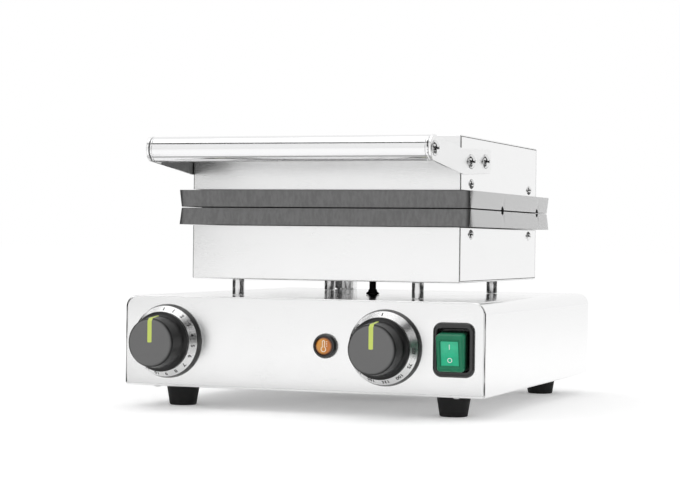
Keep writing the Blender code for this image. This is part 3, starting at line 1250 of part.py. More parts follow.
def hinges(carrier):
    """Two hinges: outer leaves with a stop pin on the lower housing, inner leaves on the lid, a pin in each."""
    eye = (HINGE_Y, PARTING)
    near = HINGE_Y - HINGE_EYE_RADIUS
    inside = HINGE_WEB_FRONT + SEAT_GAP
    leaf_near, leaf_far = HINGE_LEAF_OFFSET, HINGE_LEAF_OFFSET + HINGE_LEAF_HEIGHT
    boss = STOP_RADIUS + HINGE_SHEET
    far_z, near_z = leaf_far - SEAT_GAP, leaf_near + SEAT_GAP
    lower = [(inside, PARTING - far_z), (inside, PARTING - near_z), (near, PARTING - near_z)]
    lower += arc(eye, HINGE_EYE_RADIUS, 180, 0, BEND_STEPS * 2) + arc(stop_centre(), boss, 0, -90, CORNER_STEPS)
    hinge_leaf(1, "lower_hinge_leaf", HINGE_WIDTH / 2, lower)

    contact = math.degrees(math.asin((HEEL_HALF_WIDTH + STOP_RADIUS + SEAT_GAP) / STOP_DISTANCE))
    heel = math.radians(STOP_ANGLE + contact + LID_OPENING)
    out, across = Vector((math.cos(heel), math.sin(heel))), Vector((-math.sin(heel), math.cos(heel)))
    root = math.degrees(heel) - math.degrees(math.asin(HEEL_HALF_WIDTH / HINGE_EYE_RADIUS))
    nose = Vector(eye) + out * HEEL_LENGTH
    tip = [tuple(nose + across * step) for step in (-HEEL_HALF_WIDTH, HEEL_HALF_WIDTH)]
    upper = [(inside, PARTING + far_z), (inside, PARTING + near_z), (near, PARTING + near_z)]
    upper += arc(eye, HINGE_EYE_RADIUS, 180, 360 + root, BEND_STEPS * 3) + tip
    hinge_leaf(-1, "upper_hinge_leaf", HINGE_WIDTH / 2 - HINGE_SHEET - HINGE_RUNNING_GAP, upper, carrier)

    for x, word in ((-HINGE_X, "left"), (HINGE_X, "right")):
        reach = HINGE_WIDTH / 2 + SEAT_GAP
        profile = []
        for hand in (-1, 1):
            face, end = x + hand * reach, x + hand * (reach + HINGE_PIN_HEAD_HEIGHT)
            profile += [(HINGE_PIN_HEAD, end), (HINGE_PIN_HEAD, face), (HINGE_PIN_RADIUS, face)][::-hand]
        pin = Solid()
        pin.turned(profile, along_x, eye, POST_SIDES)
        pin.make(f"hinge_pin_{word}", "polished_steel", smooth=True)


def base():
    """Base case with feet, posts, controls and supply."""
    base_shell()
    front_panel()
    back_panel()
    bottom_pan()
    feet()
    posts()
    dial("timer", TIMER_X, TIMER_CASE_SIZE, TIMER_CASE_SIZE, TIMER_CASE_DEPTH)
    dial("thermostat", THERMOSTAT_X, THERMOSTAT_CASE_WIDTH, THERMOSTAT_CASE_HEIGHT, THERMOSTAT_CASE_DEPTH)
    lamp()
    leads()
    cord_gland()
    terminal_block()


def cooking_half(side, prefix, housing_name, height, carrier=None):
    """Housing, frame, heater, wool and plate on one side of the parting plane."""
    housing(side, housing_name, height, carrier=carrier)
    carrier_frame(side, f"{prefix}_frame", carrier)
    plate(side, f"{prefix}_plate", carrier)
    heater(side, f"{prefix}_heater", carrier)
    wool(side, f"{prefix}_wool", height, carrier)


def main():
    """Model the whole object."""
    for item in list(bpy.context.scene.objects):
        bpy.data.objects.remove(item)
    base()
    lid_axis = axis_empty("lid_axis", (0, HINGE_Y, PARTING))
    cooking_half(1, "lower", "lower_housing", LOWER_HOUSING_HEIGHT)
    cooking_half(-1, "upper", "lid_housing", LID_HOUSING_HEIGHT, lid_axis)
    lid_exit = (CONDUIT_X, CONDUIT_LID_Z)
    fitting("lid_conduit_fitting", along_y, lid_exit, HOUSING_BACK, 1, HOUSING_SHEET, lid_axis)
    hinges(lid_axis)
    handle(lid_axis)
    knob("timer", TIMER_X)
    knob("thermostat", THERMOSTAT_X)
    switch()


main()
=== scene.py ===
"""Looks of a countertop maker for waffles on a stick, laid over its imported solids.

Lengths are metres in the frame of the solids: +Z up, +Y to the hinges at the back, +X to the right as
seen from the front. Apart from the letters, every shape is a grid of points worked out at once
from the sizes of its class.
"""

from __future__ import annotations

import logging
import math
from collections.abc import Sequence
from dataclasses import dataclass, replace
from enum import Enum
from typing import Any

import bmesh
import bpy
import numpy as np
from mathutils import Matrix, Vector


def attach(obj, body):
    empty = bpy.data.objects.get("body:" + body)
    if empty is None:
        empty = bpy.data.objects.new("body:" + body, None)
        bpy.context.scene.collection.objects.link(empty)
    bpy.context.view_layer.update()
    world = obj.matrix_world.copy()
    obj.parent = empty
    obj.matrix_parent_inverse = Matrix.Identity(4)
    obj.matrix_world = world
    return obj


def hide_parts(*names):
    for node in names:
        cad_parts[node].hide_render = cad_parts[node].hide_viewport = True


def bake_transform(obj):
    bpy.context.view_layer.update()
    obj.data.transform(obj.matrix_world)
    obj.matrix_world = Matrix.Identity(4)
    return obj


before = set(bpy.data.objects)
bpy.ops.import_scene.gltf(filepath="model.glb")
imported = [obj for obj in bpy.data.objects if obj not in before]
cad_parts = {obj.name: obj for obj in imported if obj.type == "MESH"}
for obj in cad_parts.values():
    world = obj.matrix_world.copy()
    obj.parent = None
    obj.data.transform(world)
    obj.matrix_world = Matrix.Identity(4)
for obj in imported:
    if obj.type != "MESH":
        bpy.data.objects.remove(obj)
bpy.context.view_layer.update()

log = logging.getLogger("waffle_maker")

Array = np.ndarray
Point = tuple[float, float, float]
Colour = tuple[float, float, float]

IMAGE_WIDTH = 680
FRONT = -0.15635  # outer face of the front panel, along Y
BACK = 0.18165  # outer face of the back panel
BASE_TOP = 0.0908  # top of the base
SHEET = 0.0012  # thickness of the folded sheets
DIAL_Z = 0.0541  # height of every control's middle
TIMER_X = -0.1143  # middle of each control
LAMP_X = 0.0225
THERMOSTAT_X = 0.0722
SWITCH_X = 0.1278
HOUSING_FRONT = -0.10685  # front and back of both housings
HOUSING_BACK = 0.12605
BRACKET_X = 0.1166  # inner face of the handle's brackets
MERGE = 1e-6  # points of one skin that are nearer than this become one
SEAT = 0.0002  # gap between a piece and the one that it stands on
EDGE = 0.0003  # rounding of a sheet's cut edges
RAMP = np.array([0, 0.2, 0.5, 0.8, 1.0])  # shares of a mould's wall at which its grid has lines


def unit(vectors: Array) -> Array:
    """Vectors of length one along the last dimension."""
    return vectors / np.linalg.norm(vectors, axis=-1, keepdims=True)


def around(sides: int) -> Array:
    """Even angles once round, in radians."""
    return np.arange(sides) * 2 * math.pi / sides


def smooth(share: Array) -> Array:
    """Curve s * s * (3 - 2 * s) from 0 to 1, level at both ends."""
    return share * share * (3 - 2 * share)


class Axis(Enum):
    """Direction that a piece is drawn or turned along: places of (along, across, up) in x, y, z."""

    X = (0, 1, 2)
    Y = (1, 0, 2)
    Z = (2, 0, 1)

    def place(self, across: Any, up: Any, along: Any) -> Array:
        """Set plane coordinates and the one along the axis into x, y, z.

        Args:
            across: First coordinate of the plane.
            up: Second coordinate of the plane.
            along: Coordinate along the axis.

        Returns:
            Points with x, y, z in the last dimension.
        """
        across, up, along = np.broadcast_arrays(across, up, along)
        points = np.empty(across.shape + (3,))
        points[..., self.value[0]] = along
        points[..., self.value[1]] = across
        points[..., self.value[2]] = up
        return points

    def ring(self, centre: Sequence[float], radius: Any, angles: Array, along: Any) -> Array:
        """Points round the axis: centre + radius * (cos, sin), each at its place along.

        Args:
            centre: Where the axis stands in its plane.
            radius: Radius of each point.
            angles: Angles round the axis, in radians.
            along: Coordinate along the axis.

        Returns:
            Points with x, y, z in the last dimension.
        """
        return self.place(centre[0] + radius * np.cos(angles), centre[1] + radius * np.sin(angles), along)


class Body(Enum):
    """Bodies of the solids that pieces ride on."""

    BASE = "base"
    LID = "lid"
    TIMER = "timer_knob"
    THERMOSTAT = "thermostat_knob"
    SWITCH = "switch"


# ---- shapes ----


def fillet(corners: Sequence[Sequence[float]], radii: float | Sequence[float], steps: int = 8,
           closed: bool = True) -> Array:
    """Turn each corner of a path into an arc that touches both of its sides.

    The arc's centre lies on the corner's bisector, radius / sin(half the angle) from the corner.

    Args:
        corners: Plane points of the path.
        radii: One radius, or one for each corner; zero keeps a corner sharp.
        steps: Segments in each arc.
        closed: Whether the last corner joins the first.

    Returns:
        Points of the path, (n, 2).
    """
    points = np.asarray(corners, float)
    sizes = np.broadcast_to(radii, len(points))
    parts = []
    for i, here in enumerate(points):
        if sizes[i] == 0 or (not closed and i in (0, len(points) - 1)):
            parts.append(here[None])
            continue
        back, ahead = unit(points[i - 1] - here), unit(points[(i + 1) % len(points)] - here)
        half = math.acos(float(np.clip(back @ ahead, -1, 1))) / 2
        centre = here + unit(back + ahead) * sizes[i] / math.sin(half)
        spoke = here + back * sizes[i] / math.tan(half) - centre
        turn = 1 if back[0] * ahead[1] - back[1] * ahead[0] < 0 else -1
        angles = turn * (math.pi - 2 * half) * np.linspace(0, 1, steps + 1)
        cos, sin = np.cos(angles), np.sin(angles)
        parts.append(centre + np.stack([cos * spoke[0] - sin * spoke[1], sin * spoke[0] + cos * spoke[1]], 1))
    return np.concatenate(parts)


def box_outline(width: float, height: float, radius: float, centre: tuple[float, float] = (0, 0),
                steps: int = 8) -> Array:
    """Outline of a rectangle with round corners.

    Args:
        width: Size along the first axis.
        height: Size along the second axis.
        radius: Radius of its corners.
        centre: Middle of the rectangle.
        steps: Segments in each corner.

    Returns:
        Points of the outline, (4 * (steps + 1), 2).
    """
    x, y = width / 2, height / 2
    corners = np.array([(-x, -y), (x, -y), (x, y), (-x, y)]) + centre
    return fillet(corners, radius, steps)


def arc_points(centre: Sequence[float], radius: float, start: float, stop: float, count: int) -> Array:
    """Plane points of an arc, from one angle to another in degrees."""
    angles = np.radians(np.linspace(start, stop, count))
    return np.stack([centre[0] + radius * np.cos(angles), centre[1] + radius * np.sin(angles)], 1)


def inset(outline: Array, distance: float) -> Array:
    """Move a smooth closed outline inwards along its normals, each the mean run of its two neighbours turned.

    Args:
        outline: Closed plane outline that runs counterclockwise, (n, 2).
        distance: How far to move it.

    Returns:
        Points of the new outline, (n, 2).
    """
    run = unit(np.roll(outline, -1, axis=0) - np.roll(outline, 1, axis=0))
    return outline + distance * np.stack([-run[:, 1], run[:, 0]], 1)


def sheet_section(path: Array, thickness: float) -> Array:
    """Close an open path into the section of a folded sheet.

    Each inner point is its outer one moved by thickness along the mean of its two segments' right-hand
    normals, divided by their agreement, so the sheet keeps its thickness round a bend.

    Args:
        path: Outer face of the sheet, (n, 2).
        thickness: Thickness, to the right of the path; negative for its left.

    Returns:
        Points of the closed section, (2n, 2).
    """
    run = unit(np.diff(path, axis=0))
    normal = np.stack([run[:, 1], -run[:, 0]], 1)
    before, after = np.vstack([normal[:1], normal]), np.vstack([normal, normal[-1:]])
    mitre = (before + after) / (1 + (before * after).sum(1, keepdims=True))
    return np.vstack([path, (path + mitre * thickness)[::-1]])


def polygon_radius(angles: Array, apothem: float, sides: int) -> Array:
    """Distance to a regular polygon's edge: apothem / cos(angle from the nearest flat's middle).

    Args:
        angles: Angles round the centre, in radians.
        apothem: Distance from the centre to a flat.
        sides: Number of flats.

    Returns:
        One radius for each angle.
    """
    step = 2 * math.pi / sides
    return apothem / np.cos((angles + step / 2) % step - step / 2)


def turned(profile: Sequence[Sequence[float]], axis: Axis, centre: Sequence[float], sides: int) -> Array:
    """Turn a profile of (radius, place along) pairs round an axis.

    Args:
        profile: Radius and place along the axis of each ring.
        axis: Axis to turn round.
        centre: Where the axis stands in its plane.
        sides: Points round each ring.

    Returns:
        Rings of points, (rings, sides, 3).
    """
    radius, along = np.asarray(profile, float).T
    return axis.ring(centre, radius[:, None], around(sides), along[:, None])


def drawn(outline: Array, axis: Axis, stops: Sequence[float]) -> Array:
    """Draw an outline straight along an axis.

    Args:
        outline: Closed plane outline, (n, 2).
        axis: Axis to draw it along.
        stops: Places along the axis of its rings.

    Returns:
        Rings of points, (len(stops), n, 3).
    """
    return axis.place(outline[None, :, 0], outline[None, :, 1], np.asarray(stops, float)[:, None])


def hose(path: Array, radii: Array, sides: int) -> Array:
    """Round tube along a path: each ring lies across the path's tangent, and starts on the side of +X.

    Args:
        path: Middle line, (n, 3), that nowhere runs along X.
        radii: Radius at each point.
        sides: Points round the tube.

    Returns:
        Rings of points, (n, sides, 3).
    """
    tangent = unit(np.gradient(path, axis=0))
    aside = np.broadcast_to((1.0, 0.0, 0.0), path.shape)
    aside = unit(aside - tangent * (aside * tangent).sum(1, keepdims=True))
    other = np.cross(tangent, aside)
    angles = around(sides)[:, None]
    spokes = aside[:, None] * np.cos(angles) + other[:, None] * np.sin(angles)
    return path[:, None] + radii[:, None, None] * spokes


def curve_points(ends: Sequence[Sequence[float]], count: int) -> Array:
    """Cubic curve between the first and last of four points, drawn by the two in between.

    Args:
        ends: The four points.
        count: Number of points to give.

    Returns:
        Points at even parameters, (count, 3).
    """
    t = np.linspace(0, 1, count)[:, None]
    a, b, c, d = (np.asarray(p, float) for p in ends)
    return (1 - t) ** 3 * a + 3 * t * (1 - t) ** 2 * b + 3 * t * t * (1 - t) * c + t ** 3 * d


def run_along(path: Array) -> Array:
    """Length of a path from its start to each of its points."""
    return np.concatenate([[0], np.cumsum(np.linalg.norm(np.diff(path, axis=0), axis=1))])


def joined(rows: Array, beside: Array) -> list[list[int]]:
    """Faces between rows of point numbers, each with the same rows moved on by one point."""
    return np.stack([rows[:-1], beside[:-1], beside[1:], rows[1:]], -1).reshape(-1, 4).tolist()


def linked(name: str, data: Any) -> bpy.types.Object:
    """New object of some data, in the scene."""
    item = bpy.data.objects.new(name, data)
    bpy.context.scene.collection.objects.link(item)
    return item


def face_outwards(mesh: bpy.types.Mesh, merge: bool = False) -> bpy.types.Mesh:
    """Turn a mesh's faces outwards, after joining the points that are one if merge is set."""
    work = bmesh.new()
    work.from_mesh(mesh)
    if merge:
        bmesh.ops.remove_doubles(work, verts=work.verts, dist=MERGE)
        bmesh.ops.dissolve_degenerate(work, edges=work.edges, dist=MERGE)
    bmesh.ops.recalc_face_normals(work, faces=work.faces)
    work.to_mesh(mesh)
    work.free()
    return mesh


def evaluated_mesh(item: bpy.types.Object) -> bpy.types.Mesh:
    """New mesh of an object as its modifiers or its letters make it."""
    bpy.context.view_layer.update()
    return bpy.data.meshes.new_from_object(item.evaluated_get(bpy.context.evaluated_depsgraph_get()))


class Skin:
    """Surfaces gathered from rings and grids of points, to be built as one mesh."""

    def __init__(self) -> None:
        """Start with no points."""
        self.points: list[Array] = []
        self.faces: list[list[int]] = []
        self.total = 0

    def add(self, points: Array, faces: list[list[int]]) -> Skin:
        """Take points, and faces that count from the first of them."""
        self.points.append(points.reshape(-1, 3))
        self.faces += [[index + self.total for index in face] for face in faces]
        self.total += len(self.points[-1])
        return self

    def tube(self, rings: Array, looped: bool = False) -> Skin:
        """Join each ring's points to the next point round and to the next ring, and close both ends.

        Args:
            rings: Rings of points, (m, n, 3).
            looped: Whether the last ring joins the first instead of being closed.

        Returns:
            This skin.
        """
        index = np.arange(rings[..., 0].size).reshape(rings.shape[:2])
        rows = np.vstack([index, index[:1]]) if looped else index
        ends = [] if looped else [index[0].tolist(), index[-1].tolist()]
        return self.add(rings, joined(rows, np.roll(rows, -1, axis=1)) + ends)

    def turn(self, profile: Sequence[Sequence[float]], axis: Axis, centre: Sequence[float], sides: int,
             looped: bool = False) -> Skin:
        """Add a profile turned round an axis, as turned and tube describe."""
        return self.tube(turned(profile, axis, centre, sides), looped)

    def draw(self, outline: Array, axis: Axis, stops: Sequence[float]) -> Skin:
        """Add an outline drawn along an axis, as drawn and tube describe."""
        return self.tube(drawn(outline, axis, stops))

    def lid(self, grid: Array) -> Skin:
        """Join an open grid of points, (m, n, 3), into a surface."""
        index = np.arange(grid[..., 0].size).reshape(grid.shape[:2])
        return self.add(grid, joined(index[:, :-1], index[:, 1:]))

    def mesh(self, name: str) -> bpy.types.Mesh:
        """Mesh of all points and faces so far."""
        mesh = bpy.data.meshes.new(name)
        mesh.from_pydata(np.concatenate(self.points).tolist(), [], self.faces)
        return mesh

    def build(self, name: str, finish: Finish, body: Body | None, replaces: Sequence[str] = (), edge: float = 0.0,
              sharp: float = 32.0) -> bpy.types.Object:
        """Make the object, dress it and hang it on its body.

        Args:
            name: Name of the piece.
            finish: Its finish.
            body: Body that it rides on.
            replaces: Nodes of the solids that it stands for.
            edge: Width of the rounding of its sharp edges, or zero.
            sharp: Angle in degrees past which an edge stays sharp.

        Returns:
            The new object.
        """
        mesh = face_outwards(self.mesh(name), merge=True)
        mesh.shade_smooth()
        mesh.set_sharp_from_angle(angle=math.radians(sharp))
        item = linked(name, mesh)
        if edge:
            bevel = item.modifiers.new("edge", "BEVEL")
            bevel.width = edge
            bevel.segments = 2
            bevel.limit_method = "ANGLE"
            bevel.angle_limit = math.radians(sharp)
            bevel.harden_normals = True
        return dress(item, finish, body, replaces)


def dress(item: bpy.types.Object, finish: Finish, body: Body | None, replaces: Sequence[str] = ()) -> bpy.types.Object:
    """Give a piece its finish and its body.

    Args:
        item: Object of the piece.
        finish: Its finish.
        body: Body that it rides on, or None for a piece that runs between two bodies and rides on neither.
        replaces: Nodes of the solids that it stands for.

    Returns:
        The same object.
    """
    item.data.materials.clear()
    item.data.materials.append(finish.material())
    if body:
        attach(item, body.value)
    if replaces:
        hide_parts(*replaces)
    log.info("%s: %s on %s", item.name, finish.name, body.value if body else "two bodies")
    return item


def cut(item: bpy.types.Object, tool: Skin) -> None:
    """Cut a closed skin out of a piece for good.

    Args:
        item: Piece to cut, without modifiers.
        tool: Skin to take away.
    """
    cutter = linked("cutter", face_outwards(tool.mesh("cutter")))
    modifier = item.modifiers.new("cut", "BOOLEAN")
    modifier.object = cutter
    modifier.operation = "DIFFERENCE"
    modifier.solver = "EXACT"
    fresh, old = evaluated_mesh(item), item.data
    item.modifiers.remove(modifier)
    item.data = fresh
    bpy.data.meshes.remove(old)
    bpy.data.objects.remove(cutter)


def lettering(text: str, size: float, depth: float) -> tuple[Array, list[list[int]]]:
    """Raised letters as a mesh, centred on their own box in the XY plane.

    Args:
        text: Letters or numbers to write.
        size: Height of the font.
        depth: How far they stand to either side of the plane.

    Returns:
        Points and faces.
    """
    data = bpy.data.curves.new("letters", "FONT")
    data.body = text
    data.size = size
    data.extrude = depth
    data.resolution_u = 4
    data.offset = size * 0.022
    item = linked("letters", data)
    mesh = evaluated_mesh(item)
    points = np.empty(len(mesh.vertices) * 3)
    mesh.vertices.foreach_get("co", points)
    points = points.reshape(-1, 3)
    points[:, :2] -= (points[:, :2].min(0) + points[:, :2].max(0)) / 2
    faces = [list(face.vertices) for face in mesh.polygons]
    bpy.data.objects.remove(item)
    bpy.data.curves.remove(data)
    bpy.data.meshes.remove(mesh)
    return points, faces


# ---- finishes ----


class Flow:
    """Socket of a shader graph that takes part in sums and products."""

    def __init__(self, graph: Graph, socket: bpy.types.NodeSocket) -> None:
        """Hold a socket and the graph that it belongs to."""
        self.graph = graph
        self.socket = socket

    def maths(self, operation: str, *others: Any) -> Flow:
        """Put this value and others through a Math node."""
        return self.graph.out("ShaderNodeMath", {"operation": operation}, dict(enumerate((self, *others))))

    def __add__(self, other: Any) -> Flow:
        """Sum."""
        return self.maths("ADD", other)

    def __mul__(self, other: Any) -> Flow:
        """Product."""
        return self.maths("MULTIPLY", other)

    def __rsub__(self, other: float) -> Flow:
        """A number less this value."""
        return self.graph.out("ShaderNodeMath", {"operation": "SUBTRACT"}, {0: other, 1: self})

    __radd__ = __add__
    __rmul__ = __mul__

    def step(self, low: float, high: float) -> Flow:
        """Go smoothly from 0 to 1 as this value goes from low to high."""
        return self.graph.out("ShaderNodeMapRange", {"interpolation_type": "SMOOTHSTEP"}, {0: self, 1: low, 2: high})

    def spread(self, low: float, high: float) -> Flow:
        """Spread a pattern of 0 to 1 over low to high."""
        return self * (high - low) + low


class Graph:
    """Shader graph of one material."""

    def __init__(self, name: str) -> None:
        """Start a material with a Principled shader."""
        self.material = bpy.data.materials.new(name)
        self.material.use_nodes = True
        self.tree = self.material.node_tree
        self.shader = self.tree.nodes["Principled BSDF"]
        self.place = self.out("ShaderNodeTexCoord", {}, {}, "Object")

    def out(self, kind: str, settings: dict[str, Any], inputs: dict[Any, Any], output: Any = 0) -> Flow:
        """Make any node and take one of its outputs.

        Args:
            kind: Type of the node.
            settings: Its own settings, set first.
            inputs: Values or links of its sockets, by name or number.
            output: Name or number of the output to take.

        Returns:
            The output.
        """
        node = self.tree.nodes.new(kind)
        for key, value in settings.items():
            setattr(node, key, value)
        self.feed(node, inputs)
        return Flow(self, node.outputs[output])

    def feed(self, node: bpy.types.Node, inputs: dict[Any, Any]) -> None:
        """Set a node's sockets, by name or number, to values or to flows."""
        for key, value in inputs.items():
            if isinstance(value, Flow):
                self.tree.links.new(value.socket, node.inputs[key])
            else:
                node.inputs[key].default_value = value

    def stretched(self, scale: Point) -> Flow:
        """Object coordinates, each multiplied by its own number."""
        return self.out("ShaderNodeVectorMath", {"operation": "MULTIPLY"}, {0: self.place, 1: scale})

    def noise(self, scale: float, stretch: Point = (1, 1, 1), detail: float = 3.0, rough: float = 0.55) -> Flow:
        """Cloudy pattern of 0 to 1, with scale features to the metre."""
        return self.out("ShaderNodeTexNoise", {}, {"Vector": self.stretched(stretch), "Scale": scale,
                                                   "Detail": detail, "Roughness": rough})

    def cells(self, scale: float) -> Flow:
        """Distance to the nearest of many scattered points."""
        return self.out("ShaderNodeTexVoronoi", {}, {"Vector": self.place, "Scale": scale}, "Distance")

    def reach(self, centre: Point, weights: Point) -> Flow:
        """Distance from a line through centre, along the axis whose weight is zero."""
        away = self.out("ShaderNodeVectorMath", {"operation": "SUBTRACT"}, {0: self.place, 1: centre})
        away = self.out("ShaderNodeVectorMath", {"operation": "MULTIPLY"}, {0: away, 1: weights})
        return self.out("ShaderNodeVectorMath", {"operation": "LENGTH"}, {0: away}, "Value")

    def coordinate(self, axis: int) -> Flow:
        """One of the three object coordinates."""
        return self.out("ShaderNodeSeparateXYZ", {}, {0: self.place}, axis)

    def mix(self, factor: Flow, low: Any, high: Any) -> Flow:
        """Colour between two, by a factor."""
        low, high = ((*c, 1.0) if isinstance(c, tuple) else c for c in (low, high))
        return self.out("ShaderNodeMix", {"data_type": "RGBA"}, {0: factor, 6: low, 7: high}, 2)

    def shades(self, factor: Flow, colour: Colour, low: float, high: float) -> Flow:
        """A colour multiplied by low to high, by a factor."""
        return self.mix(factor, shade(colour, low), shade(colour, high))

    def aside(self, low: float, high: float) -> Flow:
        """Step by the distance from the machine's middle plane."""
        return self.coordinate(0).maths("ABSOLUTE").step(low, high)

    def bump(self, height: Flow, distance: float, strength: float = 1.0) -> Flow:
        """Normal that a height of 0 to 1, distance deep, gives the surface."""
        return self.out("ShaderNodeBump", {}, {"Height": height, "Distance": distance, "Strength": strength})


def grey(tone: float) -> Colour:
    """Colour of three equal values."""
    return (tone, tone, tone)


def shade(colour: Colour, factor: float) -> Colour:
    """Multiply a colour by a number, up to white."""
    return tuple(min(1.0, c * factor) for c in colour)


@dataclass(frozen=True)
class Finish:
    """Plain finish: a colour that drifts a little, with a roughness and a fine grain."""

    name: str
    slot: str
    colour: Colour
    roughness: float
    metallic: float = 0.0
    drift: float = 0.06
    grain: float = 900.0
    grain_depth: float = 0.00001
    coat: float = 0.0
    gloss: float = 0.5

    def material(self) -> bpy.types.Material:
        """Material of this finish, made once."""
        found = bpy.data.materials.get(self.name)
        if found:
            return found
        graph = Graph(self.name)
        graph.feed(graph.shader, {"Metallic": self.metallic, "Coat Weight": self.coat, "Specular IOR Level": self.gloss,
                                  **self.surface(graph)})
        return graph.material

    def surface(self, graph: Graph) -> dict[str, Any]:
        """Colour, roughness and normal over the surface.

        Args:
            graph: Graph to make the nodes in.

        Returns:
            Values and flows by the shader's socket names.
        """
        cloud = graph.noise(38.0)
        fine = graph.noise(self.grain, detail=2.0)
        colour = graph.shades(cloud.step(0.3, 0.7), self.colour, 1 - self.drift, 1 + self.drift)
        rough = fine.spread(self.roughness * 0.86, self.roughness * 1.14)
        return {"Base Color": colour, "Roughness": rough, "Normal": graph.bump(fine, self.grain_depth)}


@dataclass(frozen=True)
class BrushedSheet(Finish):
    """Brushed sheet steel: fine scratches along one way, faint rolling clouds, and smoother bends past bent_x that
    carry a painted dark reflection.
    """

    along: Point = (1, 40, 40)
    scratch_depth: float = 0.000004
    bent_x: float = 1.0

    def surface(self, graph: Graph) -> dict[str, Any]:
        """Fine lines vary roughness and height, wide clouds vary colour; bends are far less rough, and darkened in
        colour as a painted dark reflection.
        """
        lines = graph.noise(70.0, self.along, detail=4.0, rough=0.7)
        cloud = graph.noise(9.0, detail=2.0)
        smear = graph.noise(26.0, detail=3.0)
        tone = lines.spread(-0.5, 0.5) * 0.05 + cloud.spread(-0.5, 0.5) * self.drift + 0.5
        colour = graph.shades(tone, self.colour, 0.80, 1.20)
        # painted dark reflection: past bent_x the colour falls to 0.72 of the sheet's, while the roughness drops
        bend_gloss_and_painted_dark = graph.aside(self.bent_x, self.bent_x + 0.0006)
        rough = (lines * 0.10 + smear.spread(-0.04, 0.05) + (self.roughness - 0.05)) * (1 - bend_gloss_and_painted_dark * 0.8)
        return {"Base Color": graph.mix(bend_gloss_and_painted_dark, colour, shade(self.colour, 0.72)), "Roughness": rough,
                "Normal": graph.bump(lines, self.scratch_depth)}


@dataclass(frozen=True)
class BracketSheet(BrushedSheet):
    """Satin strip whose inner face, towards the machine's middle, is rougher and painted dark as the shade behind the
    bar.
    """

    inner_x: float = BRACKET_X
    bar_y: float = -0.1700
    inner_shade: Colour = grey(0.15)

    def surface(self, graph: Graph) -> dict[str, Any]:
        """Blend to a painted shade and a rougher face by the distance from the middle plane, behind the bar alone."""
        found = super().surface(graph)
        # painted shade: the inner face behind the bar takes a dark grey
        inner = graph.aside(self.inner_x + 0.0005, self.inner_x + 0.0002)
        inner = inner * graph.coordinate(1).step(self.bar_y, self.bar_y + 0.004)
        return {**found, "Base Color": graph.mix(inner, found["Base Color"], self.inner_shade),
                "Roughness": inner * 0.2 + found["Roughness"]}


@dataclass(frozen=True)
class CastCoating(Finish):
    """Dark coated casting with a fine pebbled face and bare milled sides."""

    side_from: float = 0.1257
    milled: Colour = grey(0.62)

    def surface(self, graph: Graph) -> dict[str, Any]:
        """Pebbles of two sizes, light specks, a painted dark reflection near the side edges, and bare metal past it."""
        pebble = graph.noise(1500.0, detail=2.0, rough=0.6)
        lump = graph.noise(420.0, (1, 1, 0.35), detail=2.0)
        speck = graph.cells(900.0).step(0.16, 0.05)
        bare = graph.aside(self.side_from, self.side_from + 0.00008)
        lines = graph.noise(60.0, (1, 1, 30), detail=3.0)
        dark = graph.shades(lump.step(0.3, 0.7), self.colour, 0.88, 1.12)
        dark = graph.mix(speck * 0.4, dark, shade(self.colour, 1.9))
        # painted dark reflection: the coating falls to 0.22 of its colour in the last 4 mm before the milled sides
        edge = graph.aside(self.side_from - 0.0040, self.side_from - 0.0002)
        dark = graph.mix(edge, dark, shade(self.colour, 0.22))
        light = graph.shades(lines, self.milled, 0.94, 1.06)
        rough = (1 - bare) * pebble.spread(0.40, 0.56) + bare * lines.spread(0.34, 0.46)
        height = (1 - bare) * (pebble * 0.5 + lump * 0.5)
        return {"Base Color": graph.mix(bare, dark, light), "Roughness": rough,
                "Metallic": bare * 0.75 + 0.25, "Normal": graph.bump(height, 0.00006, 0.6)}


@dataclass(frozen=True)
class MouldedPlastic(Finish):
    """Moulded plastic with a fine spark-eroded texture and a slightly worn sheen."""

    texture: float = 2400.0

    def surface(self, graph: Graph) -> dict[str, Any]:
        """Tiny pits vary height, wide clouds vary roughness and colour."""
        pits = graph.noise(self.texture, detail=1.0)
        cloud = graph.noise(60.0, detail=3.0)
        colour = graph.shades(cloud, self.colour, 1 - self.drift, 1 + self.drift)
        rough = cloud.spread(-0.015, 0.015) + pits * 0.03 + (self.roughness - 0.015)
        return {"Base Color": colour, "Roughness": rough, "Normal": graph.bump(pits, self.grain_depth)}


@dataclass(frozen=True)
class KnobPlastic(MouldedPlastic):
    """Knob plastic whose face is a paler and rougher disc, its pale tone carried over the rounded lip as a painted
    sheen.
    """

    face_y: float = -0.19015
    face: Colour = grey(0.150)

    def surface(self, graph: Graph) -> dict[str, Any]:
        """Blend from the sides to the face by the place along the knob's axis; where the blend runs over the lip it is
        a painted sheen.
        """
        found = super().surface(graph)
        # painted sheen: the face's pale grey fades back over the first 1.6 mm along the axis, across the rounded edge
        front = graph.coordinate(1).step(self.face_y + 0.0016, self.face_y)
        found["Base Color"] = graph.mix(front, found["Base Color"], self.face)
        found["Roughness"] = front * 0.12 + found["Roughness"]
        return found


@dataclass(frozen=True)
class MineralWool(Finish):
    """Felted mineral fibre."""

    def surface(self, graph: Graph) -> dict[str, Any]:
        """Long soft fibres in two directions over lumps."""
        fibre = graph.noise(500.0, (1, 6, 1), detail=5.0, rough=0.75)
        cross = graph.noise(500.0, (6, 1, 1), detail=5.0, rough=0.75)
        mat = fibre * 0.5 + cross * 0.5
        colour = graph.shades(mat.step(0.35, 0.65), self.colour, 0.7, 1.15)
        return {"Base Color": colour, "Roughness": self.roughness, "Normal": graph.bump(mat, 0.0006)}


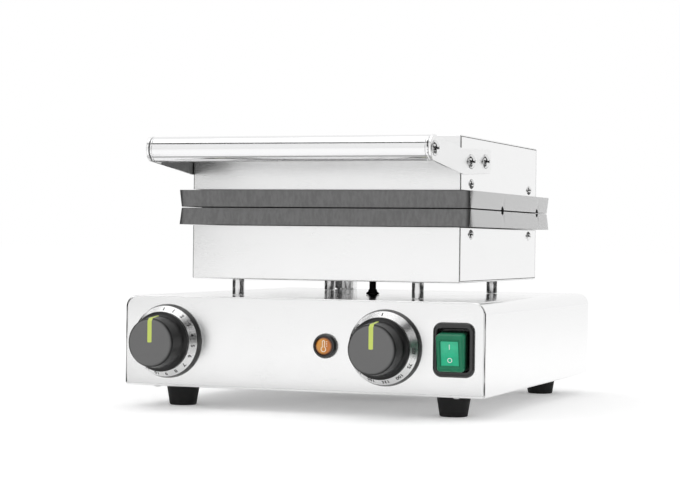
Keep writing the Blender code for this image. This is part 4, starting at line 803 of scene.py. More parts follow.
@dataclass(frozen=True)
class ClearPlastic(Finish):
    """Tinted glossy plastic that glows a little, as if light came through it."""

    glow: float = 0.0

    def surface(self, graph: Graph) -> dict[str, Any]:
        """Soft clouds vary the colour, its glow and the roughness."""
        cloud = graph.noise(220.0, detail=2.0)
        colour = graph.shades(cloud, self.colour, 0.8, 1.2)
        rough = cloud.spread(self.roughness - 0.03, self.roughness + 0.03)
        return {"Base Color": colour, "Roughness": rough, "Emission Color": colour,
                "Emission Strength": self.glow}


@dataclass(frozen=True)
class BootPlastic(ClearPlastic):
    """Clear green boot that darkens towards the black frame that it stands in, a painted shade."""

    pale_y: float = -0.1655
    dark_y: float = -0.1608
    deep: Colour = (0.006, 0.020, 0.012)

    def surface(self, graph: Graph) -> dict[str, Any]:
        """Blend from green to near black by the depth in front of the panel, as painted shade from the frame."""
        found = super().surface(graph)
        # painted shade: near the frame the boot's colour and glow fall to near black
        colour = graph.mix(graph.coordinate(1).step(self.pale_y, self.dark_y), found["Base Color"], self.deep)
        return {**found, "Base Color": colour, "Emission Color": colour}


@dataclass(frozen=True)
class LampPlastic(ClearPlastic):
    """Amber lens: brown at its rim, bright in its middle, and more orange to one side."""

    centre: Point = (LAMP_X, 0.0, DIAL_Z)
    reach: float = 0.0071
    rim: Colour = (0.075, 0.022, 0.006)
    side: Colour = (0.52, 0.15, 0.012)

    def surface(self, graph: Graph) -> dict[str, Any]:
        """Rings of colour by the distance from the lens's axis, over a drift from side to side."""
        found = super().surface(graph)
        away = graph.reach(self.centre, (1, 0, 1))
        across = graph.coordinate(0).step(self.centre[0] - self.reach * 0.5, self.centre[0] + self.reach * 0.7)
        ring = away.step(self.reach * 0.74, self.reach * 0.96)
        colour = graph.mix(ring, graph.mix(across, found["Base Color"], self.side), self.rim)
        return {**found, "Base Color": colour, "Emission Color": colour}


SATIN = BrushedSheet("satin_steel_looks", "satin_steel", grey(0.90), 0.25, metallic=1.0, drift=0.04)
# the panel's side folds past bent_x carry the painted dark reflection
SATIN_PANEL = replace(SATIN, name="satin_steel_panel_looks", bent_x=0.1506)
SATIN_UPRIGHT = replace(SATIN, name="satin_steel_side_looks", colour=grey(0.94), roughness=0.14, along=(40, 1, 40))
SATIN_FLAT = BracketSheet("satin_bracket_looks", "satin_steel", grey(0.94), 0.24, metallic=1.0, drift=0.04,
                          along=(40, 1, 40))
POLISHED = BrushedSheet("polished_steel_looks", "polished_steel", (0.83, 0.83, 0.835), 0.15, metallic=1.0, drift=0.04,
                        along=(1, 60, 60), scratch_depth=0.0000015)
DIAL = BrushedSheet("dial_silver_looks", "polished_steel", grey(0.80), 0.26, metallic=1.0, drift=0.05)
DRAWN = Finish("drawn_post_looks", "polished_steel", grey(0.78), 0.19, metallic=1.0, drift=0.03, grain=300.0,
               grain_depth=0.0000002)
SCREW = Finish("screw_looks", "polished_steel", grey(0.72), 0.15, metallic=1.0, drift=0.08, grain=1500.0,
               grain_depth=0.000004)
ZINC = Finish("zinc_looks", "zinc", (0.60, 0.60, 0.58), 0.38, metallic=1.0, drift=0.14, grain=700.0)
HEATER = Finish("heater_looks", "heater_alloy", (0.20, 0.17, 0.15), 0.50, metallic=0.8, drift=0.25, grain=500.0,
                grain_depth=0.00003)
PLATE = CastCoating("cast_plate_looks", "cast_plate", grey(0.155), 0.55)
KNOB = KnobPlastic("knob_looks", "knob_black", grey(0.010), 0.30, grain_depth=0.0000007, gloss=0.30)
BLACK = MouldedPlastic("black_plastic_looks", "bezel_black", grey(0.018), 0.24, grain_depth=0.0000007, gloss=0.60)
RUBBER = MouldedPlastic("rubber_looks", "rubber", grey(0.009), 0.66, texture=1200.0, grain_depth=0.00003, gloss=0.3)
INK = Finish("ink_looks", "bezel_black", grey(0.010), 0.55, drift=0.12, gloss=0.2)
LIME = Finish("lime_looks", "bezel_black", (0.58, 0.68, 0.14), 0.45, drift=0.04, grain_depth=0.000004)
AMBER = LampPlastic("amber_looks", "lens_amber", (0.60, 0.25, 0.03), 0.14, coat=0.4, glow=0.12)
PALE = Finish("pale_mark_looks", "lens_amber", (0.95, 0.86, 0.68), 0.40, drift=0.04)
BOOT = BootPlastic("boot_looks", "boot_green", (0.010, 0.17, 0.085), 0.32, coat=0.15, glow=0.05, gloss=0.25)
KEY = ClearPlastic("key_looks", "boot_green", (0.012, 0.42, 0.22), 0.30, coat=0.3, glow=0.18)
WHITE = Finish("white_mark_looks", "boot_green", (0.85, 0.92, 0.88), 0.40, drift=0.03)
CERAMIC = Finish("ceramic_looks", "ceramic", (0.80, 0.78, 0.72), 0.35, drift=0.04, grain=300.0, coat=0.3)
WOOL = MineralWool("wool_looks", "mineral_wool", (0.62, 0.60, 0.50), 0.95)

PLAIN_NODES: dict[Finish, tuple[str, ...]] = {
    SATIN: ("back_panel", "bottom_pan", "lower_hinge_leaf_left", "lower_hinge_leaf_right", "upper_hinge_leaf_left",
            "upper_hinge_leaf_right"),
    POLISHED: ("hinge_pin_left", "hinge_pin_right"),
    ZINC: ("lower_frame", "upper_frame"),
    HEATER: ("lower_heater", "upper_heater"),
    WOOL: ("lower_wool", "upper_wool"),
    BLACK: ("timer_case", "thermostat_case"),
    CERAMIC: ("terminal_block",),
}


# ---- the object ----


class Recess(Enum):
    """Recess in a screw's head."""

    HEXAGON = "hexagon"
    CROSS = "cross"

    def radius(self, angles: Array, size: float) -> Array:
        """Outline of the recess.

        A hexagon has its own formula; a cross is the nearer of its arm's end, size / cos(angle from the
        arm), and its arm's side, 0.26 * size / sin(that angle).

        Args:
            angles: Angles round the head, in radians.
            size: Reach of the recess.

        Returns:
            One radius for each angle.
        """
        if self is Recess.HEXAGON:
            return polygon_radius(angles, size, 6)
        away = np.abs((angles + math.pi / 4) % (math.pi / 2) - math.pi / 4)
        return np.minimum(size / np.cos(away), size * 0.26 / np.maximum(np.sin(away), 1e-3))


@dataclass
class ScrewHead:
    """Domed screw head with a recess."""

    radius: float
    height: float
    recess: Recess
    recess_size: float
    recess_depth: float
    sides: int = 48

    def add_to(self, skin: Skin, axis: Axis, centre: Sequence[float], seat: float, out: int) -> None:
        """Add one head, standing on its seat.

        The dome is a cap of a ball, whose radius follows from the head's radius and height, down to a short
        upright rim; its rings stop where the recess starts.

        Args:
            skin: Skin to add it to.
            axis: Axis of the screw.
            centre: Where the axis stands in its plane.
            seat: Place along the axis of the seat.
            out: +1 or -1, the way the head points.
        """
        angles = around(self.sides)
        rim = self.height * 0.10
        cap = self.height - rim
        ball = (self.radius ** 2 + cap ** 2) / (2 * cap)
        full = np.ones(self.sides)
        dome = [(full * r, rim + cap - ball + math.sqrt(ball ** 2 - r ** 2))
                for r in np.linspace(self.radius, self.recess_size * 1.12, 12)]
        hollow = self.recess.radius(angles, self.recess_size)
        crown = dome[-1][1]
        rings = [(full * self.radius, 0.0), *dome, (hollow * 1.03, crown),
                 (hollow, crown - 0.0001), (hollow * 0.9, crown - self.recess_depth)]
        skin.tube(np.array([axis.ring(centre, r, angles, seat + out * h) for r, h in rings]))


SIDE_SCREW = ScrewHead(radius=0.0041, height=0.0022, recess=Recess.CROSS, recess_size=0.0013, recess_depth=0.0006)
HANDLE_SCREW = ScrewHead(radius=0.0060, height=0.0036, recess=Recess.HEXAGON, recess_size=0.0011, recess_depth=0.0009)
SMALL_SCREW = ScrewHead(radius=0.0033, height=0.0018, recess=Recess.CROSS, recess_size=0.0017, recess_depth=0.0010)


@dataclass
class Case:
    """Base case: wrapped shell, front panel, feet, posts and the small screws under it."""

    width: float = 0.3050
    front: float = FRONT
    back: float = BACK
    low: float = 0.0174
    high: float = BASE_TOP
    sheet: float = SHEET
    bend: float = 0.0100
    flange: float = 0.0150
    seam: float = 0.0004
    fold: tuple[float, float] = (0.0020, 0.0011)
    foot_x: float = 0.1170
    foot_inset: float = 0.0360
    foot_top: float = 0.0140
    foot_bottom: float = 0.0110
    foot_seat: float = 0.0189
    post_x: float = 0.0786
    post_ys: tuple[float, float] = (-0.09705, 0.11625)
    post_radius: float = 0.0049
    post_high: float = 0.1042
    stud: float = 0.0030
    nut: float = 0.0050
    nut_height: float = 0.0048
    foot_recess: float = 0.0070
    foot_hollow: float = 0.0055
    foot_bore: float = 0.0018
    hem: float = 0.0014
    panel_foot: float = 0.0026
    window_radius: float = 0.002
    nut_corner: float = 0.0056
    stud_end: float = 0.0022
    pan_screw_inset: float = 0.0035
    pan_screw_share: float = 0.18
    window: tuple[float, float, float] = (SWITCH_X, 0.0292, 0.0346)

    def build(self) -> None:
        """Build every piece of the case."""
        self.shell()
        self.panel()
        self.feet()
        self.posts()
        self.pan_screws()

    def shell(self) -> None:
        """Folded sheet over top and sides, drawn from front to back, with flanges folded in below."""
        x = self.width / 2
        corners = [(-x + self.flange, self.low), (-x, self.low), (-x, self.high),
                   (x, self.high), (x, self.low), (x - self.flange, self.low)]
        path = fillet(corners, [0, self.hem, self.bend, self.bend, self.hem, 0], 14, closed=False)
        section = sheet_section(path, self.sheet)
        rings = drawn(section, Axis.Y, (self.front + self.sheet + self.seam, self.back))
        Skin().tube(rings).build("case_shell", SATIN_UPRIGHT, Body.BASE, ["base_shell"], edge=EDGE)

    def panel(self) -> None:
        """Front panel with round top corners, its rim turned back on a quarter ellipse, and the switch's window."""
        rings = []
        for angle in np.radians(np.linspace(0, 90, 7)):
            less = self.fold[0] * (1 - math.sin(angle))
            x, low, high = self.width / 2 - less, self.low + less, self.high - less
            foot, bend = self.panel_foot - less, self.bend - less
            outline = fillet([(x, low), (x, high), (-x, high), (-x, low)], [foot, bend, bend, foot], 16)
            rings += [*drawn(outline, Axis.Y, [self.front + self.fold[1] * (1 - math.cos(angle))])]
        rings += [*drawn(outline, Axis.Y, [self.front + self.sheet])]
        item = Skin().tube(np.array(rings)).build("case_front_panel", SATIN_PANEL, Body.BASE, ["front_panel"])
        centre, width, height = self.window
        window = box_outline(width, height, self.window_radius, (centre, (self.low + self.high) / 2))
        cut(item, Skin().draw(window, Axis.Y, (self.front - self.sheet, self.front + 2 * self.sheet)))

    def corners(self, x: float, ys: tuple[float, float]) -> list[tuple[str, tuple[float, float]]]:
        """Words and centres of four places at the corners, left ones first and front ones before back ones."""
        return [(f"{depth}_{hand}", (side * x, y))
                for side, hand in ((-1, "left"), (1, "right")) for depth, y in zip(("front", "back"), ys)]

    def feet(self) -> None:
        """Tapered rubber feet, turned, with soft edges and a screw in the recess of each."""
        low, high = self.foot_recess, self.foot_seat - SEAT
        corners = [(self.foot_bore, low), (self.foot_hollow, low), (self.foot_hollow, 0.0), (self.foot_bottom, 0.0),
                   (self.foot_top, high), (self.foot_bore, high)]
        profile = fillet(corners, [0, 0.0006, 0.0007, 0.0012, 0.0008, 0], 5)
        screws = Skin()
        for word, centre in self.corners(self.foot_x, (self.front + self.foot_inset, self.back - self.foot_inset)):
            skin = Skin().turn(profile, Axis.Z, centre, 56, looped=True)
            skin.build(f"rubber_foot_{word}", RUBBER, Body.BASE, [f"foot_{word}"])
            SMALL_SCREW.add_to(screws, Axis.Z, centre, low, -1)
        screws.build("foot_screws", SCREW, Body.BASE)

    def posts(self) -> None:
        """Drawn posts with soft ends, and the hexagonal nuts and studs inside the sheets."""
        low, high = self.high + SEAT, self.post_high - SEAT
        profile = fillet([(self.stud, low), (self.post_radius, low), (self.post_radius, high), (self.stud, high)],
                         [0, 0.0005, 0.0005, 0], 4, closed=False)
        angles = around(48)
        hexagon = np.minimum(polygon_radius(angles, self.nut, 6), self.nut_corner)
        for word, centre in self.corners(self.post_x, self.post_ys):
            skin = Skin().turn(profile, Axis.Z, centre, 64)
            for seat, out in ((self.high - self.sheet, -1), (self.post_high + self.sheet, 1)):
                end = seat + out * self.nut_height
                skin.tube(np.array([Axis.Z.ring(centre, hexagon, angles, z) for z in (seat, end)]))
                skin.turn([(self.stud, end), (self.stud, end + out * self.stud_end)], Axis.Z, centre, 32)
            skin.build(f"polished_post_{word}", DRAWN, Body.BASE, [f"post_{word}"])

    def pan_screws(self) -> None:
        """Screw heads under the flanges all round."""
        middle = self.flange / 2 + self.sheet
        x, flank = self.foot_x + self.foot_top - self.pan_screw_inset, self.width / 2 - middle + self.sheet
        skin = Skin()
        for side in (-1, 1):
            for across, inset in ((x, middle), (flank, (self.back - self.front) * self.pan_screw_share)):
                for y in (self.front + inset, self.back - inset):
                    SMALL_SCREW.add_to(skin, Axis.Z, (side * across, y), self.low, -1)
        skin.build("pan_screws", SCREW, Body.BASE)


@dataclass
class Control:
    """Dial with its bezel, scale ring and marks, and its knob with a lime pointer."""

    name: str
    x: float
    body: Body
    labels: range
    first: float
    pitch: float
    text_size: float
    z: float = DIAL_Z
    front: float = FRONT
    radius: float = 0.0300
    rim: float = 0.0288
    rim_depth: float = 0.0050
    cone: float = 0.0236
    cone_depth: float = 0.0110
    wall: float = 0.0022
    floor: float = 0.0026
    groove_pitch: float = 0.00030
    groove: float = 0.000008
    groove_points: int = 6
    scale_span: tuple[float, float] = (0.07, 0.965)
    scale_lift: float = 0.00016
    tick: tuple[float, float] = (0.0008, 0.0034)
    ink: float = 0.00006
    ink_lift: float = 0.00015
    marks: float = 0.54
    knob_lift: float = 0.0008
    knob_height: float = 0.0222
    knob_radius: float = 0.0241
    shoulder: float = 0.0195
    face: float = 0.0173
    step: float = 0.0022
    lip: float = 0.0032
    waist: tuple[float, float] = (0.0211, 0.0050)
    pointer: float = 0.0040
    pointer_run: float = 0.0160
    proud: float = 0.0003
    bed: float = 0.0003
    bed_proud: float = 0.00006
    sunk: float = 0.0004
    tail_width: float = 0.62
    bore: float = 0.0038
    sides: int = 144

    def build(self) -> None:
        """Build every piece of the control: the pointer is a lime strip in a dark bed."""
        self.bezel()
        self.scale()
        path = self.knob()
        self.strip(path, self.pointer / 2 + self.bed, self.bed_proud, "pointer_bed", BLACK)
        self.strip(path, self.pointer / 2, self.proud, "lime_pointer", LIME)

    def bezel(self) -> None:
        """Black ring, turned: a sloping side, a rounded rim, and a cone that carries the scale."""
        seat, tip, top = self.front - SEAT, self.front - self.rim_depth, self.front - self.cone_depth
        floor = self.front - self.floor
        corners = [(self.bore, seat), (self.radius, seat), (self.radius - 0.0002, seat - 0.0010), (self.rim, tip),
                   (self.cone, top), (self.cone - self.wall, top), (self.cone + 0.0008, floor), (self.bore, floor)]
        profile = fillet(corners, [0, 0.0002, 0.0010, 0.0006, 0.0003, 0.0003, 0, 0], 5)
        skin = Skin().turn(profile, Axis.Y, (self.x, self.z), self.sides, looped=True)
        skin.build(f"{self.name}_black_bezel", BLACK, Body.BASE, [f"{self.name}_bezel"])

    def slant(self, share: Any, lift: Any) -> Array:
        """Points (radius, y) over the cone.

        Args:
            share: How far up the cone, 0 at the rim and 1 at its top.
            lift: Height over the cone's face.

        Returns:
            The points, (..., 2).
        """
        run = np.array([self.cone - self.rim, self.rim_depth - self.cone_depth])
        out = np.array([-run[1], run[0]]) / self.slant_length
        foot = np.array([self.rim, self.front - self.rim_depth])
        return foot + np.multiply.outer(share, run) + np.multiply.outer(lift, out)

    @property
    def slant_length(self) -> float:
        """Length of the cone's face from its rim to its top."""
        return math.hypot(self.rim - self.cone, self.cone_depth - self.rim_depth)

    def scale(self) -> None:
        """Silver cone round the knob with turned grooves, whose height is a sine of the way up it."""
        turns = self.slant_length / self.groove_pitch
        share = np.linspace(*self.scale_span, int(turns * self.groove_points))
        out = self.slant(0.0, 1.0) - self.slant(0.0, 0.0)
        rise = self.groove * np.sin(share * turns * 2 * math.pi) + self.scale_lift
        profile = np.vstack([self.slant(share, 0) + rise[:, None] * out, self.slant(share[[-1, 0]], 0) - SEAT * out])
        skin = Skin().turn(profile, Axis.Y, (self.x, self.z), self.sides, looped=True)
        skin.build(f"{self.name}_scale_ring", DIAL, Body.BASE)
        marks, tick = Skin(), Skin().draw(box_outline(*self.tick, 0.0001, steps=1), Axis.Z, (0.0, self.ink))
        self.stamp(marks, tick.points[0], tick.faces, 0.0)
        for i, label in enumerate(self.labels):
            self.stamp(marks, *lettering(str(label), self.text_size, self.ink), self.first + i * self.pitch)
        marks.build(f"{self.name}_scale_marks", INK, Body.BASE, sharp=20.0)

    def stamp(self, skin: Skin, points: Array, faces: list[list[int]], angle: float) -> None:
        """Wrap a flat mark round the cone: its up points outwards and it is turned clockwise by an angle.

        Args:
            skin: Skin to add it to.
            points: The mark's points, in its own XY plane.
            faces: Its faces.
            angle: Degrees clockwise from the top.
        """
        share = self.marks - points[:, 1] / self.slant_length
        out = self.slant(0.0, 1.0) - self.slant(0.0, 0.0)
        spots = self.slant(share, 0) + (points[:, 2] + self.ink_lift)[:, None] * out
        turn = math.radians(angle) + points[:, 0] / spots[:, 0].mean()
        skin.add(Axis.Y.ring((self.x, self.z), spots[:, 0], math.pi / 2 - turn, spots[:, 1]), faces)

    def knob(self) -> Array:
        """Knob, turned: lip, flared skirt, conical side and sloping shoulder.

        Returns:
            Profile of (radius, y) from the lip to the middle of the face.
        """
        base = self.front - self.cone_depth - self.knob_lift
        tip = base - self.knob_height
        corners = [(0.0, base), (self.knob_radius, base), (self.knob_radius, base - self.lip),
                   (self.waist[0], base - self.waist[1]), (self.shoulder, tip + self.step), (self.face, tip),
                   (0.0, tip)]
        path = fillet(corners, [0, 0.0003, 0.0007, 0.0030, 0.0008, 0.0006, 0], 8, closed=False)
        skin = Skin().turn(path, Axis.Y, (self.x, self.z), self.sides)
        skin.build(f"{self.name}_turning_knob", KNOB, self.body, [f"{self.name}_knob"], sharp=60.0)
        return path

    def strip(self, path: Array, half: float, proud: float, name: str, finish: Finish) -> None:
        """Strip that follows the knob's profile.

        Its half width is constant over the face and narrows back along the side; both ends are rounded by a
        quarter ellipse, and it stands proud by a smooth hump across it.

        Args:
            path: Profile of the knob.
            half: Half its width.
            proud: How far it stands over the knob.
            name: Last part of the piece's name.
            finish: Finish that it takes.
        """
        run = run_along(path)
        begin = float(np.interp(-path[-1, 1] - self.pointer_run, -path[:, 1], run))
        s = np.linspace(begin, run[-1] - 0.0001, 140)
        radius, y = (np.interp(s, run, line)[:, None] for line in path.T)
        tangent = unit(np.gradient(np.hstack([radius, y]), axis=0))
        ends = np.clip(np.minimum(s - s[0], (s[-1] - s) * 3) / half, 0, 1)
        narrow = np.interp(s, [s[0], s[0] + self.pointer_run], [self.tail_width, 1.0])
        width = half * np.sqrt(1 - (1 - ends) ** 2) * narrow
        t = np.linspace(-1, 1, 13)
        rise = proud * np.clip((1 - np.abs(t)) / 0.25, 0, 1) * np.clip(ends * 3, 0, 1)[:, None] - 0.0001
        x = width[:, None] * t
        over = np.sqrt(np.maximum(radius ** 2 - x ** 2, 0.0))
        over = np.where(radius > 0.9 * self.face, over, radius)

        def lifted(by: Any) -> Array:
            """Points over the knob's profile by a height along its normal."""
            return Axis.Y.place(self.x + x, self.z + over - tangent[:, 1:] * by, y + tangent[:, :1] * by)

        rings = np.concatenate([lifted(rise), lifted(-self.sunk)[:, ::-1]], axis=1)
        Skin().tube(rings).build(f"{self.name}_{name}", finish, self.body, sharp=50.0)


@dataclass
class Lamp:
    """Pilot lamp: stepped black bezel, domed amber lens and a pale pictogram in it."""

    x: float = LAMP_X
    z: float = DIAL_Z
    front: float = FRONT
    radius: float = 0.0098
    rim: float = 0.0088
    depth: float = 0.0047
    bore: float = 0.0075
    stroke: float = 0.00062
    barrel: float = 0.0060
    barrel_length: float = 0.0262
    well: float = 0.0032
    bulb: tuple[float, float] = (0.0022, -0.0024)
    stem: tuple[float, float] = (0.00125, 0.0035)
    relief: float = 0.0006
    mark: tuple[float, float] = (0.0011, 0.00042)
    mark_place: tuple[float, float] = (0.0026, 0.0036)
    mark_pitch: float = 0.0012

    def build(self) -> None:
        """Build the lamp's pieces."""
        tip, seat = self.front - self.depth, self.front - SEAT
        floor, bore = tip + self.well, self.bore - 0.0002
        corners = [(self.barrel, seat + self.barrel_length), (self.barrel, seat), (self.radius, seat),
                   (self.radius, seat - 0.0016), (self.rim, tip), (self.bore, tip), (bore, floor), (0.0, floor)]
        profile = fillet(corners, [0, 0, 0.0003, 0.0006, 0.0007, 0.0003, 0, 0], 5, closed=False)
        skin = Skin().turn(profile, Axis.Y, (self.x, self.z), 96)
        skin.build("lamp_black_bezel", BLACK, Body.BASE, ["lamp_bezel"])
        radius = np.linspace(self.bore - 0.0004, 0.0002, 14)
        dome = tip + 0.0010 - 0.0012 * np.sqrt(1 - (radius / self.bore) ** 2)
        profile = np.vstack([[(self.bore - 0.0004, tip + 0.0030)], np.stack([radius, dome], 1)])
        skin = Skin().turn(profile, Axis.Y, (self.x, self.z), 72)
        skin.build("lamp_amber_lens", AMBER, Body.BASE, ["lamp_lens"])
        self.pictogram(tip - 0.00022)

    def pictogram(self, y: float) -> None:
        """Thermometer drawn as a line: a tall round-ended stem over a round bulb, with short marks beside it.

        Args:
            y: Plane of its face.
        """
        bulb = arc_points((0.0, self.bulb[1]), self.bulb[0], 120, 420, 40)
        stem = arc_points((0.0, self.stem[1]), self.stem[0], 0, 180, 20)
        right = np.linspace(bulb[-1], stem[0], 8)[1:-1]
        outline = np.vstack([bulb, right, stem, right[::-1] * (-1, 1)]) + (self.x, self.z)
        stops = (y, y + self.relief)
        rings = [*drawn(outline, Axis.Y, stops), *drawn(inset(outline, self.stroke), Axis.Y, stops[::-1])]
        skin = Skin().tube(np.array(rings), looped=True)
        for row in range(4):
            centre = (self.x + self.mark_place[0], self.z + self.mark_place[1] - row * self.mark_pitch)
            skin.draw(box_outline(*self.mark, 0.0001, centre, 2), Axis.Y, stops)
        skin.build("lamp_pictogram", PALE, Body.BASE)


@dataclass
class Rocker:
    """Rocker switch: framed black body, green boot with its key, and I and O."""

    x: float = SWITCH_X
    z: float = DIAL_Z
    front: float = FRONT
    width: float = 0.0332
    height: float = 0.0422
    corner: float = 0.0070
    proud: float = 0.0028
    well: tuple[float, float] = (0.0252, 0.0324)
    recess: float = 0.0075
    body_width: float = 0.0286
    body_height: float = 0.0340
    body_depth: float = 0.0260
    pivot_y: float = -0.15315
    tilt: float = 9.0
    boot: tuple[float, float] = (0.0222, 0.0296)
    key: tuple[float, float] = (0.0142, 0.0191)
    stand: float = 0.0157
    key_sunk: float = 0.0010
    sign: float = 0.0038
    sign_share: float = 0.27
    stroke: float = 0.00052
    root: float = -0.0016

    def build(self) -> None:
        """Build the switch's pieces."""
        self.frame_body()
        self.boot_and_key()

    def rings(self, rows: Sequence[tuple[float, float, float, float]], centre: tuple[float, float]) -> Array:
        """Stack of rounded rectangles, each by width, height, corner radius and place along Y."""
        return np.concatenate([drawn(box_outline(w, h, r, centre, 10), Axis.Y, [y]) for w, h, r, y in rows])

    def frame_body(self) -> None:
        """Black body: deep well, rounded lip and a case through the panel."""
        (w, h), r, face, tip = (self.width, self.height), self.corner, self.front, self.front - self.proud
        well_w, well_h = self.well
        body = (self.body_width, self.body_height, 0.0020)
        rows = [(well_w, well_h, 0.0020, face + self.recess), (well_w, well_h, 0.0022, tip + 0.0012),
                (well_w + 0.0006, well_h + 0.0006, 0.0026, tip + 0.0004),
                (well_w + 0.0018, well_h + 0.0018, 0.0034, tip), (w - 0.0040, h - 0.0040, r - 0.0018, tip),
                (w - 0.0018, h - 0.0018, r - 0.0008, tip + 0.0004), (w - 0.0005, h - 0.0005, r - 0.0002, tip + 0.0012),
                (w, h, r, face - 0.0010), (w, h, r, face - SEAT), (*body, face - SEAT), (*body, face + self.body_depth)]
        skin = Skin().tube(self.rings(rows, (self.x, self.z)))
        skin.build("switch_black_body", BLACK, Body.BASE, ["switch_body"])

    def turn(self, points: Array) -> Array:
        """Tip points, given about the pivot, by the rocker's resting tilt."""
        cos, sin = math.cos(math.radians(self.tilt)), math.sin(math.radians(self.tilt))
        return points @ np.array([(1, 0, 0), (0, cos, sin), (0, -sin, cos)]) + (self.x, self.pivot_y, self.z)

    def boot_and_key(self) -> None:
        """Soft boot with a stepped bevel, the bright key under its window, and the two signs."""
        (w, h), s, sunk = self.boot, self.stand, self.stand - self.key_sunk
        rows = [(w - 0.0024, h - 0.0024, 0.0020, self.root), (w, h, 0.0026, self.root + 0.0010),
                (w - 0.0004, h - 0.0004, 0.0026, -s + 0.0028), (w - 0.0008, h - 0.0010, 0.0026, -s + 0.0015),
                (w - 0.0018, h - 0.0022, 0.0024, -s + 0.0005), (w - 0.0032, h - 0.0038, 0.0020, -s + 0.0001),
                (w - 0.0048, h - 0.0062, 0.0014, -s), (w - 0.0062, h - 0.0080, 0.0011, -s + 0.0001),
                (self.key[0] + 0.0008, self.key[1] + 0.0008, 0.0008, -sunk), (*self.key, 0.0006, -sunk + 0.0004)]
        skin = Skin().tube(self.turn(self.rings(rows, (0.0, 0.0))))
        skin.build("switch_green_boot", BOOT, Body.SWITCH, ["switch_boot", "switch_rocker"], sharp=50.0)
        w, h = self.key
        rows = [(w - 0.0002, h - 0.0002, 0.0006, -sunk + 0.0006), (w - 0.0002, h - 0.0002, 0.0006, -sunk + 0.00015),
                (w - 0.0008, h - 0.0008, 0.0004, -sunk)]
        skin = Skin().tube(self.turn(self.rings(rows, (0.0, 0.0))))
        skin.build("switch_bright_key", KEY, Body.SWITCH)
        low, high = -sunk + 0.0001, -sunk - 0.0001
        stroke = box_outline(self.stroke, self.sign, 0.0001, (0.0, h * self.sign_share), 2)
        signs = Skin().tube(self.turn(drawn(stroke, Axis.Y, (low, high))))
        outer, inner = self.sign / 2, self.sign / 2 - self.stroke
        corners = [(inner, low), (outer, low), (outer, high), (inner, high)]
        ring = turned(corners, Axis.Y, (0.0, -h * self.sign_share), 48)
        signs.tube(self.turn(ring), looped=True).build("switch_signs", WHITE, Body.SWITCH)


